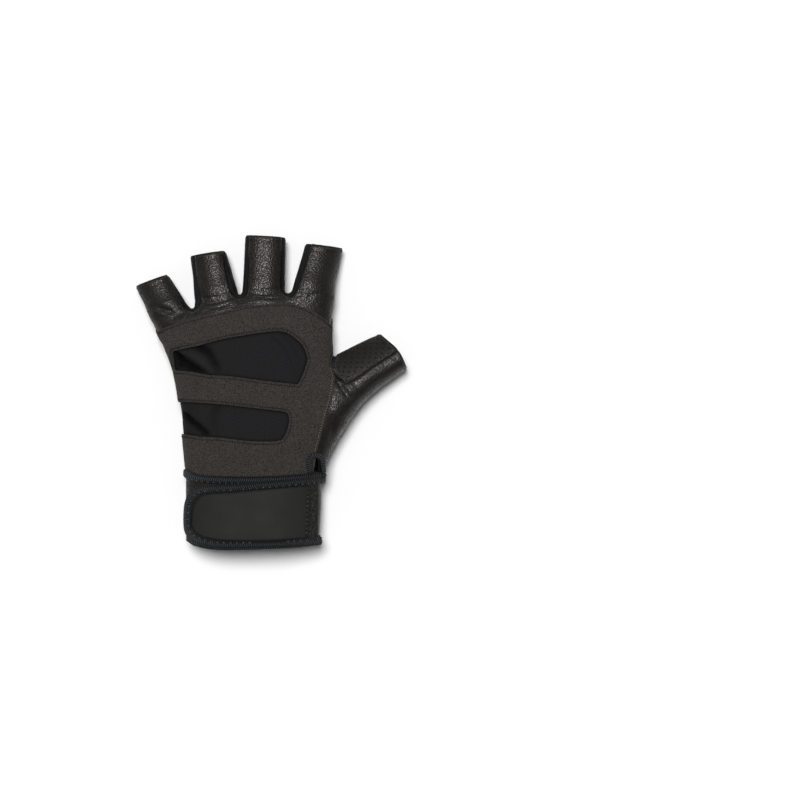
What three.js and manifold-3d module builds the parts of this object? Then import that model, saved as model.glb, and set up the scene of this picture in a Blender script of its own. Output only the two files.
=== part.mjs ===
// A fingerless fitness glove for the left hand, lying palm down as it keeps the form of the hand.
// Millimetres. +X is the thumb side, +Y runs from the cuff to the fingers, +Z is the back of the hand.
// The glove is hollow: five open finger stalls and the wrist opening all lead into the palm.
import * as THREE from "three";
import { mergeVertices } from "three/addons/utils/BufferGeometryUtils.js";
import Module from "manifold-3d";

const wasm = await Module();
wasm.setup();
const { Manifold, Mesh } = wasm;

// ---------------------------------------------------------------- sizes
const WALL = 1.4; // leather with its lining
const CUFF_WALL = 1.8; // two layers of leather round the wrist
const GAP = 0.3; // between neighbouring pieces
const SUEDE = 1.0; // the overlay on the back
const PAD = 3.0; // the padded palm, under the hand
const TAB = 1.3; // the two pull tabs, under the finger tips
const STRAP = 2.1; // the closing strap over the cuff
const PLATE = 0.7; // the smooth plate on the strap
const BINDING = 4.7; // width of the ribbed edge tape
const OUTSIDE = { hand: [28, 16], finger: [14, 4], thumb: [16, 7] }; // facets around and along each form
const INSIDE = { hand: [20, 11], finger: [10, 3], thumb: [12, 5] };
const TAB_LENGTH = 18;
const ABOVE = 60, BELOW = -10; // how far the cutting prisms reach

// Sections of the hand and cuff, from the finger roots to the wrist. x1,y1 is the little-finger side and x2,y2 the thumb side.
// bow: how far the middle of the section runs forward. flat: the height of the flattened underside. dip: how much the round form is cut off there.
const HAND = [
  { x1: -62.5, y1: 46.0, x2: 35.0, y2: 57.0, bow: 4.2, top: 19.0, flat: 7.5, dip: 0.0, pow: 2.4 },
  { x1: -65.2, y1: 42.5, x2: 35.8, y2: 54.5, bow: 4.5, top: 24.0, flat: 5.0, dip: 1.0, pow: 2.4 },
  { x1: -66.8, y1: 36.6, x2: 36.0, y2: 49.0, bow: 4.0, top: 27.5, flat: 3.6, dip: 2.0, pow: 2.4 },
  { x1: -64.8, y1: 31.0, x2: 36.0, y2: 42.4, bow: 3.0, top: 29.5, flat: 3.3, dip: 3.0, pow: 2.4 },
  { x1: -62.3, y1: 24.9, x2: 35.4, y2: 32.0, bow: 2.0, top: 31.0, flat: 3.3, dip: 3.0, pow: 2.4 },
  { x1: -57.6, y1: 13.2, x2: 35.4, y2: 18.0, bow: 1.0, top: 32.0, flat: 3.3, dip: 3.0, pow: 2.4 },
  { x1: -55.3, y1: 1.5, x2: 35.5, y2: 3.0, bow: 0.0, top: 32.5, flat: 3.3, dip: 3.0, pow: 2.4 },
  { x1: -53.5, y1: -10.2, x2: 33.8, y2: -10.2, bow: 0.0, top: 33.0, flat: 3.3, dip: 2.5, pow: 2.4 },
  { x1: -52.4, y1: -21.9, x2: 32.5, y2: -21.9, bow: 0.0, top: 33.0, flat: 3.2, dip: 2.0, pow: 2.4 },
  { x1: -51.2, y1: -36.6, x2: 31.3, y2: -36.6, bow: 0.0, top: 32.3, flat: 2.6, dip: 2.0, pow: 2.4 },
  { x1: -50.5, y1: -45.5, x2: 30.4, y2: -45.5, bow: 0.0, top: 31.4, flat: 2.0, dip: 2.0, pow: 2.4 },
  { x1: -49.6, y1: -52.0, x2: 28.6, y2: -52.0, bow: 0.0, top: 31.0, flat: 1.0, dip: 2.5, pow: 2.4 },
  { x1: -48.7, y1: -60.0, x2: 27.3, y2: -60.0, bow: 0.0, top: 31.0, flat: 0.0, dip: 3.0, pow: 2.4 },
  { x1: -48.6, y1: -76.0, x2: 27.1, y2: -76.0, bow: 0.0, top: 31.0, flat: 0.0, dip: 3.0, pow: 2.4 },
  { x1: -48.4, y1: -97.0, x2: 27.0, y2: -97.0, bow: 0.0, top: 31.0, flat: 0.0, dip: 3.0, pow: 2.4 },
];
// Four fingers: root centre, tip centre, half widths, heights of the back, and of the flattened underside. e1,f1 and e2,f2 are the two ends of the hem.
const FINGERS = [
  { name: "little", rx: -60.3, ry: 48.3, tx: -69.6, ty: 65.8, rootHalf: 11.0, tipHalf: 10.0, rootTop: 21.5, tipTop: 16.0, rootFlat: 4.5, tipFlat: 0.0, e1: -79.0, f1: 62.4, e2: -60.2, f2: 69.3 },
  { name: "ring", rx: -31.9, ry: 57.6, tx: -37.0, ty: 81.2, rootHalf: 13.1, tipHalf: 10.2, rootTop: 24.0, tipTop: 19.0, rootFlat: 4.5, tipFlat: 1.6, e1: -47.2, f1: 79.6, e2: -26.9, f2: 82.8 },
  { name: "middle", rx: -4.6, ry: 57.6, tx: -3.6, ty: 91.1, rootHalf: 12.6, tipHalf: 11.8, rootTop: 25.0, tipTop: 19.6, rootFlat: 4.5, tipFlat: 1.6, e1: -15.1, f1: 91.7, e2: 8.2, f2: 90.4 },
  { name: "index", rx: 24.6, ry: 60.5, tx: 30.7, ty: 85.6, rootHalf: 12.2, tipHalf: 10.7, rootTop: 24.5, tipTop: 17.6, rootFlat: 4.2, tipFlat: 0.0, e1: 20.0, f1: 87.0, e2: 41.3, f2: 84.3 },
];
// Sections of the thumb, from inside the wrist to past its hem. x1,y1 is the side by the index finger.
const THUMB = [
  { x1: 3.0, y1: -14.0, x2: 29.0, y2: -45.5, bow: 0.0, top: 25.0, flat: 4.2, dip: 2.0, pow: 2.3 },
  { x1: 9.0, y1: 3.0, x2: 35.0, y2: -34.5, bow: 0.0, top: 27.5, flat: 3.4, dip: 2.0, pow: 2.3 },
  { x1: 22.0, y1: 15.0, x2: 42.8, y2: -21.6, bow: 0.0, top: 27.0, flat: 2.6, dip: 2.0, pow: 2.3 },
  { x1: 36.5, y1: 22.2, x2: 52.0, y2: -8.4, bow: 0.0, top: 25.0, flat: 1.6, dip: 1.5, pow: 2.2 },
  { x1: 49.0, y1: 28.3, x2: 63.5, y2: 2.6, bow: 0.0, top: 22.5, flat: 0.6, dip: 1.0, pow: 2.2 },
  { x1: 63.5, y1: 34.6, x2: 79.2, y2: 13.6, bow: 0.0, top: 20.0, flat: 0.0, dip: 1.0, pow: 2.2 },
  { x1: 67.0, y1: 36.6, x2: 83.0, y2: 16.6, bow: 0.0, top: 19.6, flat: 0.0, dip: 1.0, pow: 2.2 },
];
const THUMB_HEM = [{ x: 63.5, y: 34.4 }, { x: 73.8, y: 24.7 }, { x: 79.4, y: 14.0 }];

// Lines of the pattern, seen from the back of the hand.
const OVERLAY_TOP = [{ x: -72.0, y: 33.6 }, { x: -55.0, y: 39.6 }, { x: -43.9, y: 43.3 }, { x: -32.6, y: 46.1 }, { x: -21.5, y: 48.8 }, { x: -10.3, y: 50.8 }, { x: 0.9, y: 51.9 }, { x: 9.9, y: 52.0 }, { x: 17.7, y: 50.3 }, { x: 25.5, y: 46.6 }, { x: 31.1, y: 42.7 }, { x: 37.5, y: 36.5 }];
const OVERLAY_SIDE = [{ x: 37.5, y: 15.5 }, { x: 37.3, y: 9.1 }, { x: 35.6, y: -3.9 }, { x: 32.2, y: -15.1 }, { x: 28.9, y: -26.3 }, { x: 26.6, y: -35.2 }, { x: 24.0, y: -49.0 }];
const WINDOW_UPPER = [{ x: -56.8, y: 23.8 }, { x: -41.4, y: 27.6 }, { x: -29.4, y: 30.8 }, { x: -14.5, y: 33.5 }, { x: -2.6, y: 35.2 }, { x: 6.4, y: 35.5 }, { x: 12.4, y: 32.6 }, { x: 17.7, y: 27.8 }, { x: 20.4, y: 21.9 }, { x: 20.7, y: 18.3 }, { x: 18.4, y: 11.1 }, { x: 15.4, y: 4.7 }];
const WINDOW_UPPER_BACK = [{ x: 15.4, y: 4.7 }, { x: -5.6, y: 7.0 }, { x: -23.5, y: 9.4 }, { x: -36.6, y: 10.2 }, { x: -47.3, y: 12.1 }, { x: -55.4, y: 12.9 }];
const WINDOW_LOWER = [{ x: -70.0, y: -5.2 }, { x: -53.0, y: -5.6 }, { x: -41.4, y: -6.1 }, { x: -23.5, y: -7.7 }, { x: -5.6, y: -9.8 }, { x: 7.6, y: -11.5 }, { x: 9.9, y: -13.4 }, { x: 10.2, y: -17.0 }, { x: 9.4, y: -21.1 }, { x: 7.3, y: -25.9 }, { x: 3.4, y: -28.3 }, { x: -11.5, y: -28.5 }, { x: -29.4, y: -26.5 }, { x: -41.4, y: -25.9 }, { x: -52.1, y: -24.1 }, { x: -70.0, y: -23.4 }];
const PALM_PAD_TOP = [{ x: -74.0, y: 34.0 }, { x: -60.7, y: 40.7 }, { x: -45.6, y: 45.8 }, { x: -24.7, y: 48.6 }, { x: -3.8, y: 49.2 }, { x: 17.1, y: 48.0 }, { x: 33.0, y: 44.4 }, { x: 38.2, y: 42.4 }];
const PALM_PAD_BACK = [{ x: 38.4, y: 27.0 }, { x: 36.4, y: 20.6 }, { x: 33.4, y: 18.8 }, { x: 27.6, y: 18.3 }, { x: 17.1, y: 12.6 }, { x: 6.7, y: 4.2 }, { x: -3.8, y: -1.6 }, { x: -14.3, y: -3.3 }, { x: -24.7, y: -1.6 }, { x: -33.1, y: 3.2 }, { x: -42.5, y: 9.4 }, { x: -50.8, y: 15.7 }, { x: -57.1, y: 18.3 }, { x: -74.0, y: 19.5 }];
const THUMB_ARC = [{ x: 36.0, y: 18.6 }, { x: 26.0, y: 14.6 }, { x: 19.0, y: 8.5 }, { x: 12.9, y: -1.1 }, { x: 8.7, y: -10.5 }, { x: 7.7, y: -18.8 }, { x: 9.8, y: -29.2 }, { x: 12.6, y: -38.3 }, { x: 15.5, y: -56.0 }];
const THUMB_WRAP = [{ x: 78.0, y: 28.0 }, { x: 73.8, y: 24.7 }, { x: 60.5, y: 16.1 }, { x: 50.0, y: 8.5 }, { x: 43.5, y: 5.6 }, { x: 38.3, y: 9.5 }, { x: 35.8, y: 14.5 }];
const WRIST_LINE = [{ x: -75.0, y: -45.5 }, { x: -50.8, y: -48.1 }, { x: -43.6, y: -50.3 }, { x: -34.0, y: -51.3 }, { x: -15.0, y: -51.7 }, { x: 4.0, y: -51.2 }, { x: 19.5, y: -50.0 }, { x: 31.5, y: -48.8 }, { x: 60.0, y: -47.0 }];
const CUFF_HEM = [{ x: -75.0, y: -84.0 }, { x: -51.0, y: -87.2 }, { x: -44.0, y: -89.8 }, { x: -29.5, y: -91.8 }, { x: -2.3, y: -91.2 }, { x: 14.0, y: -89.8 }, { x: 28.4, y: -88.0 }, { x: 60.0, y: -85.0 }];
const STRAP_EDGE = [{ x: 29.6, y: -48.6 }, { x: 5.0, y: -51.0 }, { x: -21.4, y: -53.6 }, { x: -40.0, y: -54.6 }, { x: -44.6, y: -56.0 }, { x: -48.6, y: -59.5 }, { x: -50.8, y: -66.0 }, { x: -51.4, y: -76.0 }, { x: -50.4, y: -82.0 }, { x: -47.0, y: -86.4 }, { x: -41.0, y: -89.4 }, { x: -29.5, y: -91.4 }, { x: -2.3, y: -90.9 }, { x: 29.6, y: -87.6 }];
const STRAP_FIELD = [{ x: 27.2, y: -53.6 }, { x: 5.0, y: -55.7 }, { x: -21.4, y: -58.2 }, { x: -39.0, y: -59.2 }, { x: -43.6, y: -61.8 }, { x: -46.2, y: -67.0 }, { x: -47.0, y: -76.0 }, { x: -46.2, y: -80.5 }, { x: -43.4, y: -83.8 }, { x: -38.0, y: -86.0 }, { x: -27.5, y: -87.2 }, { x: -2.3, y: -86.9 }, { x: 27.2, y: -83.8 }];
const PLATE_EDGE = [{ x: 21.9, y: -54.6 }, { x: 5.0, y: -56.2 }, { x: -21.4, y: -58.7 }, { x: -38.6, y: -59.8 }, { x: -43.0, y: -62.4 }, { x: -45.5, y: -67.2 }, { x: -46.3, y: -76.0 }, { x: -45.5, y: -80.1 }, { x: -43.0, y: -83.1 }, { x: -37.8, y: -85.3 }, { x: -27.5, y: -86.6 }, { x: -2.3, y: -86.3 }, { x: 20.2, y: -84.2 }];
const VENT = { left: 22.6, right: 30.0, head: -36.4, foot: -46.4, radius: 1.9 };

// ---------------------------------------------------------------- solids
function solidOf(geometry) {
  let g = geometry.index ? geometry.toNonIndexed() : geometry.clone();
  g = new THREE.BufferGeometry().setAttribute("position", g.getAttribute("position"));
  const m = mergeVertices(g, 1e-4);
  return new Manifold(new Mesh({ numProp: 3, vertProperties: m.attributes.position.array, triVerts: new Uint32Array(m.index.array) }));
}
function meshOf(name, solid, material) {
  const m = solid.getMesh(), v = new Float32Array(m.numVert * 3);
  for (let i = 0; i < m.numVert; i++) v.set(m.vertProperties.subarray(i * m.numProp, i * m.numProp + 3), i * 3);
  const g = new THREE.BufferGeometry().setAttribute("position", new THREE.BufferAttribute(v, 3));
  g.setIndex(new THREE.BufferAttribute(new Uint32Array(m.triVerts), 1));
  g.computeVertexNormals();
  const mesh = new THREE.Mesh(g, material);
  mesh.name = name;
  return mesh;
}
// A closed solid through rings of points: [[x, y, z], ...] in each ring, all of one length.
function ringsSolid(rings) {
  const n = rings[0].length, p = [], t = [];
  rings.forEach((r) => r.forEach((q) => p.push(...q)));
  for (let i = 0; i + 1 < rings.length; i++)
    for (let j = 0; j < n; j++) {
      const a = i * n + j, b = i * n + ((j + 1) % n), c = a + n, d = b + n;
      t.push(a, b, d, a, d, c);
    }
  [0, rings.length - 1].forEach((i, end) => {
    const c = rings[i].reduce((s, q) => [s[0] + q[0] / n, s[1] + q[1] / n, s[2] + q[2] / n], [0, 0, 0]), k = p.length / 3;
    p.push(...c);
    for (let j = 0; j < n; j++) {
      const a = i * n + j, b = i * n + ((j + 1) % n);
      if (end) t.push(k, a, b);
      else t.push(k, b, a);
    }
  });
  const g = new THREE.BufferGeometry().setAttribute("position", new THREE.BufferAttribute(new Float32Array(p), 3));
  g.setIndex(t);
  const s = solidOf(g);
  if (s.volume() > 0) return s;
  for (let i = 0; i < t.length; i += 3) [t[i + 1], t[i + 2]] = [t[i + 2], t[i + 1]];
  g.setIndex(t);
  return solidOf(g);
}
// The rows of a section table read as one smooth curve: k is 0 at the first row and 1 at the last.
function between(rows) {
  const curve = (f) => new THREE.CatmullRomCurve3(rows.map(f), false, "catmullrom", 0.5);
  const a = curve((r) => new THREE.Vector3(r.x1, r.y1, r.top));
  const b = curve((r) => new THREE.Vector3(r.x2, r.y2, r.flat));
  const c = curve((r) => new THREE.Vector3(r.bow, r.dip, r.pow));
  return (k) => {
    const p = a.getPoint(k), q = b.getPoint(k), s = c.getPoint(k);
    return { x1: p.x, y1: p.y, top: p.z, x2: q.x, y2: q.y, flat: q.z, bow: s.x, dip: s.y, pow: s.z };
  };
}
// One ring of a round form flattened underneath, grown by grow.side, grow.up and grow.down.
function sectionRing(r, segments, grow) {
  const low = r.flat - r.dip, mid = (r.top + low) / 2, cx = (r.x1 + r.x2) / 2, cy = (r.y1 + r.y2) / 2;
  const dx = (r.x2 - r.x1) / 2, dy = (r.y2 - r.y1) / 2, w = Math.hypot(dx, dy), k = (w + grow.side) / w, ring = [];
  for (let j = 0; j < segments; j++) {
    const a = (2 * Math.PI * j) / segments, c = Math.cos(a), s = Math.sin(a);
    const u = Math.sign(c) * Math.abs(c) ** (2 / r.pow), v = Math.sign(s) * Math.abs(s) ** (2 / r.pow);
    const z = mid + (v > 0 ? v * (r.top - mid + grow.up) : v * (mid - low + grow.down));
    ring.push([cx + u * dx * k, cy + u * dy * k + r.bow * (1 - u * u), Math.max(z, r.flat - grow.down, 0)]);
  }
  return ring;
}
function tube(rows, [segments, steps], grow, endGrows = false) {
  const at = between(rows), rings = [];
  for (let i = 0; i <= steps; i++) rings.push(sectionRing(at(i / steps), segments, grow));
  if (endGrows) rings[0] = rings[0].map(([x, y, z]) => [x, y + grow.side, z]);
  return ringsSolid(rings);
}
function fingerRows(f) {
  const ax = f.tx - f.rx, ay = f.ty - f.ry, l = Math.hypot(ax, ay), px = ay / l, py = -ax / l;
  const row = (t, half, top, flat, dip) => {
    const x = f.rx + (ax / l) * t, y = f.ry + (ay / l) * t;
    return { x1: x - px * half, y1: y - py * half, x2: x + px * half, y2: y + py * half, bow: 0, top, flat, dip, pow: 2.2 };
  };
  const m = (a, b, k) => a + (b - a) * k;
  return [
    row(-13, f.rootHalf - 1.2, f.rootTop - 1.5, f.rootFlat + 1.5, 1),
    row(0, f.rootHalf, f.rootTop, f.rootFlat, 1),
    row(l * 0.45, m(f.rootHalf, f.tipHalf, 0.62), m(f.rootTop, f.tipTop, 0.5), m(f.rootFlat, f.tipFlat, 0.6), 1),
    row(l, f.tipHalf, f.tipTop, f.tipFlat, 1),
    row(l + 6, f.tipHalf, f.tipTop, f.tipFlat, 1),
  ];
}
// The whole hand form grown outward by a distance, with the finger ends still closed and too long.
function handForm(side, up = side, down = side) {
  const grow = { side, up, down }, facets = side < 0 ? INSIDE : OUTSIDE;
  let s = tube(HAND, facets.hand, grow, true).add(tube(THUMB, facets.thumb, grow));
  for (const f of FINGERS) s = s.add(tube(fingerRows(f), facets.finger, grow));
  return s;
}
const smooth = (points, n) => new THREE.SplineCurve(points.map((p) => new THREE.Vector2(p.x, p.y))).getPoints(n);
// An upright prism over an outline, open below and above the glove.
function prism(outline) {
  const shape = new THREE.Shape(outline.map((p) => new THREE.Vector2(p.x, p.y)));
  const g = new THREE.ExtrudeGeometry(shape, { depth: ABOVE - BELOW, bevelEnabled: false });
  g.translate(0, 0, BELOW);
  return solidOf(g);
}
const corner = (x, y) => ({ x, y });
// Removes a narrow channel along a line, so that the two pieces beside it don't touch.
function channel(line, width = GAP) {
  const left = [], right = [];
  line.forEach((p, i) => {
    const a = line[Math.max(i - 1, 0)], b = line[Math.min(i + 1, line.length - 1)], l = Math.hypot(b.x - a.x, b.y - a.y);
    const nx = (-(b.y - a.y) / l) * (width / 2), ny = ((b.x - a.x) / l) * (width / 2);
    left.push(corner(p.x + nx, p.y + ny));
    right.unshift(corner(p.x - nx, p.y - ny));
  });
  return prism([...left, ...right]);
}

// ---------------------------------------------------------------- the side seam
// The height of the seam between back and palm: halfway up each form where it is widest.
const seamPoints = [];
const addSeam = (rows) => rows.forEach((r) => {
  const z = (r.top + r.flat - r.dip) / 2;
  seamPoints.push({ x: r.x1, y: r.y1, z }, { x: r.x2, y: r.y2, z });
});
addSeam(HAND.slice(2));
addSeam(THUMB.slice(2));
FINGERS.forEach((f) => addSeam(fingerRows(f).slice(1)));
function seamHeight(x, y) {
  let sum = 0, all = 0;
  for (const p of seamPoints) {
    const w = 1 / ((p.x - x) ** 2 + (p.y - y) ** 2 + 4) ** 2;
    sum += w * p.z;
    all += w;
  }
  return sum / all;
}
// All space above the seam, or below it, kept back from it by half a gap.
function seamBlock(up, back) {
  const nx = 14, ny = 16, x0 = -92, x1 = 92, y0 = -104, y1 = 104, p = [], t = [];
  const id = (i, j, far) => (j * (nx + 1) + i) * 2 + (far ? 1 : 0);
  for (let j = 0; j <= ny; j++)
    for (let i = 0; i <= nx; i++) {
      const x = x0 + ((x1 - x0) * i) / nx, y = y0 + ((y1 - y0) * j) / ny;
      p.push(x, y, seamHeight(x, y) + back, x, y, up ? ABOVE : BELOW);
    }
  for (let j = 0; j < ny; j++)
    for (let i = 0; i < nx; i++)
      for (const far of [false, true]) {
        const a = id(i, j, far), b = id(i + 1, j, far), c = id(i + 1, j + 1, far), d = id(i, j + 1, far);
        if (far === up) t.push(a, b, c, a, c, d);
        else t.push(a, c, b, a, d, c);
      }
  const wall = (a, b) => {
    const [u, v, w, z] = [id(...a, false), id(...b, false), id(...a, true), id(...b, true)];
    if (up) t.push(u, v, z, u, z, w);
    else t.push(u, z, v, u, w, z);
  };
  for (let i = 0; i < nx; i++) { wall([i, 0], [i + 1, 0]); wall([i + 1, ny], [i, ny]); }
  for (let j = 0; j < ny; j++) { wall([nx, j], [nx, j + 1]); wall([0, j + 1], [0, j]); }
  const g = new THREE.BufferGeometry().setAttribute("position", new THREE.BufferAttribute(new Float32Array(p), 3));
  g.setIndex(t);
  return solidOf(g);
}
const backHalf = seamBlock(true, GAP / 2);
const palmHalf = seamBlock(false, -GAP / 2);

// ---------------------------------------------------------------- cutting lines
const wristLine = smooth(WRIST_LINE, 10), cuffHem = smooth(CUFF_HEM, 12);
const shifted = (line, dy) => line.map((p) => corner(p.x, p.y + dy));
const strip = (upper, lower) => prism([...upper, ...[...lower].reverse()]);
const farUp = [corner(-92, 104), corner(92, 104)], farDown = [corner(-92, -104), corner(92, -104)];
const stretchOut = (line) => [corner(-92, line[0].y), ...line, corner(92, line[line.length - 1].y)];
const handSide = strip(farUp, stretchOut(shifted(wristLine, BINDING / 2 + GAP / 2)));
const wristStrip = strip(stretchOut(shifted(wristLine, BINDING / 2 - GAP / 2)), stretchOut(shifted(wristLine, -BINDING / 2 + GAP / 2)));
const cuffStrip = strip(stretchOut(shifted(wristLine, -BINDING / 2 - GAP / 2)), stretchOut(shifted(cuffHem, 4.2)));
const hemStrip = strip(stretchOut(shifted(cuffHem, 4.2 - GAP)), stretchOut(cuffHem));

// The ends of the fingers and thumb, cut along their hems.
function hemCut(points) {
  const a = points[0], b = points[points.length - 1], l = Math.hypot(b.x - a.x, b.y - a.y);
  let nx = -(b.y - a.y) / l, ny = (b.x - a.x) / l;
  if (nx * a.x + ny * (a.y + 20) < 0) { nx = -nx; ny = -ny; }
  const sx = (b.x - a.x) / l, sy = (b.y - a.y) / l;
  return prism([corner(a.x - sx * 6, a.y - sy * 6), ...points, corner(b.x + sx * 6, b.y + sy * 6), corner(b.x + sx * 6 + nx * 14, b.y + sy * 6 + ny * 14), corner(a.x - sx * 6 + nx * 14, a.y - sy * 6 + ny * 14)]);
}
let ends = hemCut(THUMB_HEM);
for (const f of FINGERS) ends = ends.add(hemCut([corner(f.e1, f.f1), corner(f.e2, f.f2)]));

// The strips between two fingers: down the side of one, round the crotch and up the side of the next.
const CROTCHES = [
  { name: "little_ring", a: "little", b: "ring", x: -47.0, y: 45.0, half: 4.0 },
  { name: "ring_middle", a: "ring", b: "middle", x: -18.3, y: 49.8, half: 4.6 },
  { name: "middle_index", a: "middle", b: "index", x: 10.4, y: 53.4, half: 4.8 },
];
function forkOutline(a, b, c) {
  const side = (f, k) => {
    const ax = f.tx - f.rx, ay = f.ty - f.ry, l = Math.hypot(ax, ay), px = ay / l, py = -ax / l;
    const at = (t, half) => corner(f.rx + (ax / l) * t + px * half * k, f.ry + (ay / l) * t + py * half * k);
    return [at(l + 8, f.tipHalf), at(l * 0.4, f.tipHalf * 1.03), at(1.5, f.rootHalf * 0.93)];
  };
  const [a1, a2, a3] = side(a, 0.8), [b1, b2, b3] = side(b, -0.8);
  return [a1, a2, a3, corner(c.x - c.half, c.y), corner(c.x + c.half, c.y), b3, b2, b1];
}
const fingerOf = (name) => FINGERS.find((f) => f.name === name);
const forks = CROTCHES.map((c) => ({ name: c.name, line: forkOutline(fingerOf(c.a), fingerOf(c.b), c) }));

// ---------------------------------------------------------------- walls
const skin = handForm(0).subtract(handForm(-WALL)).subtract(ends);
const overSkin = handForm(GAP);
const overlayTop = smooth(OVERLAY_TOP, 14), overlaySide = smooth(OVERLAY_SIDE, 8);
const arc = smooth(THUMB_ARC, 12), wrap = smooth(THUMB_WRAP, 9);
const underEdge = shifted(overlayTop, -2.2); // the overlay laps 2.2 mm over the leather
const sideUnder = overlaySide.map((p) => corner(p.x - 2.2, p.y));

let hand = skin.intersect(handSide);
for (const f of forks) hand = hand.subtract(channel([...f.line]));
const forkPrisms = forks.map((f) => prism(f.line));
const forkPieces = forkPrisms.map((p) => hand.intersect(p));
for (const p of forkPrisms) hand = hand.subtract(p);

// Back of the hand
const back = hand.intersect(backHalf);
const fingerSide = strip(farUp, [corner(-92, underEdge[0].y - 4), ...underEdge, corner(44, 35), corner(92, 70)]);
const thumbSide = [corner(40, 40), corner(38.4, 24.6), corner(35.6, 21.4)]; // up the crotch of the thumb
const palmBlock = prism([...underEdge, corner(40, 33), corner(38.4, 24.6), corner(35.6, 21.4), ...sideUnder, corner(24, -70), corner(-92, -70), corner(-92, underEdge[0].y)]);
const stretchPanel = back.subtract(channel([corner(-80, underEdge[0].y - 1), ...underEdge, corner(44, 33)])).subtract(channel([...thumbSide, ...sideUnder])).intersect(palmBlock);
const fingerBacks = back.subtract(channel([corner(-80, underEdge[0].y - 1), ...underEdge, corner(44, 33)])).intersect(fingerSide);
const thumbField = prism([...thumbSide, ...sideUnder, corner(24, -70), corner(92, -70), corner(92, 60)]);
const wrapPrism = prism([corner(92, 33), ...wrap, corner(36.1, 21.2), corner(38.8, 27), corner(60, 50)]);
const wrapGap = channel([corner(92, 33), ...wrap, corner(36.1, 21.2)]);
const thumbBack = back.subtract(channel([...thumbSide, ...sideUnder])).subtract(wrapGap).intersect(thumbField).subtract(wrapPrism).intersect(strip([corner(-92, 23), corner(92, 62)], farDown));

// Palm of the hand
const lower = hand.intersect(palmHalf);
const arcSide = prism([corner(92, 64), corner(44, 40), corner(38.4, 24.6), ...arc, corner(92, -70)]);
const arcGap = channel([corner(44, 40), corner(38.4, 24.6), ...arc]);
const thumbLower = hand.subtract(seamBlock(true, -GAP / 2)).subtract(arcGap).intersect(arcSide);
const thumbUpper = hand.subtract(wrapGap).subtract(arcGap).intersect(wrapPrism).intersect(seamBlock(true, -1.5)).intersect(arcSide);
const thumbPalm = thumbLower.add(thumbUpper);
const palmLeather = lower.subtract(arcGap).subtract(arcSide);

// The suede overlay on the back, with its two windows
const overlayShape = prism([...overlayTop, corner(37.6, 26), ...overlaySide, corner(24, -70), corner(-92, -70), corner(-92, overlayTop[0].y)]);
const upperWindow = prism([...smooth(WINDOW_UPPER, 16), ...smooth(WINDOW_UPPER_BACK, 4).slice(1)]);
const lowerWindow = prism(smooth(WINDOW_LOWER, 24));
const overlay = handForm(GAP + SUEDE).subtract(overSkin).intersect(backHalf).intersect(handSide).intersect(overlayShape).subtract(upperWindow).subtract(lowerWindow).subtract(forkPrisms[0]).subtract(forkPrisms[1]).subtract(forkPrisms[2]);

// The padded palm, flat where it rests
const padShape = prism([...smooth(PALM_PAD_TOP, 10), ...smooth(PALM_PAD_BACK, 16)]);
const palmPad = handForm(GAP + 1.1, GAP + 1.1, GAP + PAD).subtract(overSkin).intersect(palmHalf).intersect(padShape);

// Pull tabs under the ring and middle fingers
function pullTab(name) {
  const f = fingerOf(name), ax = f.tx - f.rx, ay = f.ty - f.ry, l = Math.hypot(ax, ay), px = ay / l, py = -ax / l;
  const at = (t, s) => corner(f.rx + (ax / l) * t + px * s, f.ry + (ay / l) * t + py * s);
  const w = f.tipHalf - 0.6;
  return handForm(GAP + TAB).subtract(overSkin).subtract(ends).intersect(seamBlock(false, -3)).intersect(prism([at(l - TAB_LENGTH, -w), at(l - TAB_LENGTH, w), at(l + 4, w), at(l + 4, -w)]));
}

// Cuff, its edge tapes and the closing strap
const cuffWall = handForm(0).subtract(handForm(-CUFF_WALL));
const cuff = cuffWall.intersect(cuffStrip);
const wristTape = handForm(1.2).subtract(handForm(-CUFF_WALL)).intersect(wristStrip);
const hemTape = handForm(1.0).subtract(handForm(-CUFF_WALL - 0.6)).intersect(hemStrip);
const tapeRelief = handForm(1.2 + GAP).intersect(strip(stretchOut(shifted(wristLine, BINDING / 2)), stretchOut(shifted(wristLine, -BINDING / 2)))).add(handForm(1.0 + GAP).intersect(strip(stretchOut(shifted(cuffHem, 4.2)), stretchOut(shifted(cuffHem, -1)))));
const strapOuter = prism(smooth(STRAP_EDGE, 28)), strapInner = prism(smooth(STRAP_FIELD, 26));
const strapHalf = seamBlock(true, 2.5);
const strapField = handForm(GAP + STRAP).subtract(overSkin).subtract(tapeRelief).intersect(strapHalf).intersect(strapInner);
const strapEdgeShape = strapOuter.subtract(strapInner).subtract(channel([...smooth(STRAP_FIELD, 26)], 2 * GAP));
const strapTape = handForm(GAP + STRAP + 0.8).subtract(overSkin).subtract(tapeRelief).intersect(strapHalf).intersect(strapEdgeShape);
const plate = handForm(2 * GAP + STRAP + PLATE).subtract(handForm(2 * GAP + STRAP)).intersect(strapHalf).intersect(prism(smooth(PLATE_EDGE, 26)));

// The bound slit beside the strap: a tape bent into an upside-down U over the back
const handAt = between(HAND);
function backHeight(x, y) {
  let best = 0, error = 1e9;
  for (let k = 0; k <= 1; k += 0.002) {
    const r = handAt(k), e = Math.abs((r.y1 + r.y2) / 2 - y);
    if (e < error) { error = e; best = k; }
  }
  const r = handAt(best), u = Math.min(Math.abs((x - (r.x1 + r.x2) / 2) / ((r.x2 - r.x1) / 2)), 0.995), mid = (r.top + r.flat - r.dip) / 2;
  return mid + (r.top - mid) * (1 - u ** r.pow) ** (1 / r.pow);
}
const ventLine = [];
for (let i = 0; i <= 12; i++) {
  const a = Math.PI * (i / 12), w = (VENT.right - VENT.left) / 2, cx = (VENT.left + VENT.right) / 2;
  const x = cx - w * Math.cos(a), y = VENT.head - w + w * Math.sin(a);
  ventLine.push([x, y]);
}
ventLine.unshift([VENT.left, VENT.foot]);
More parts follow.
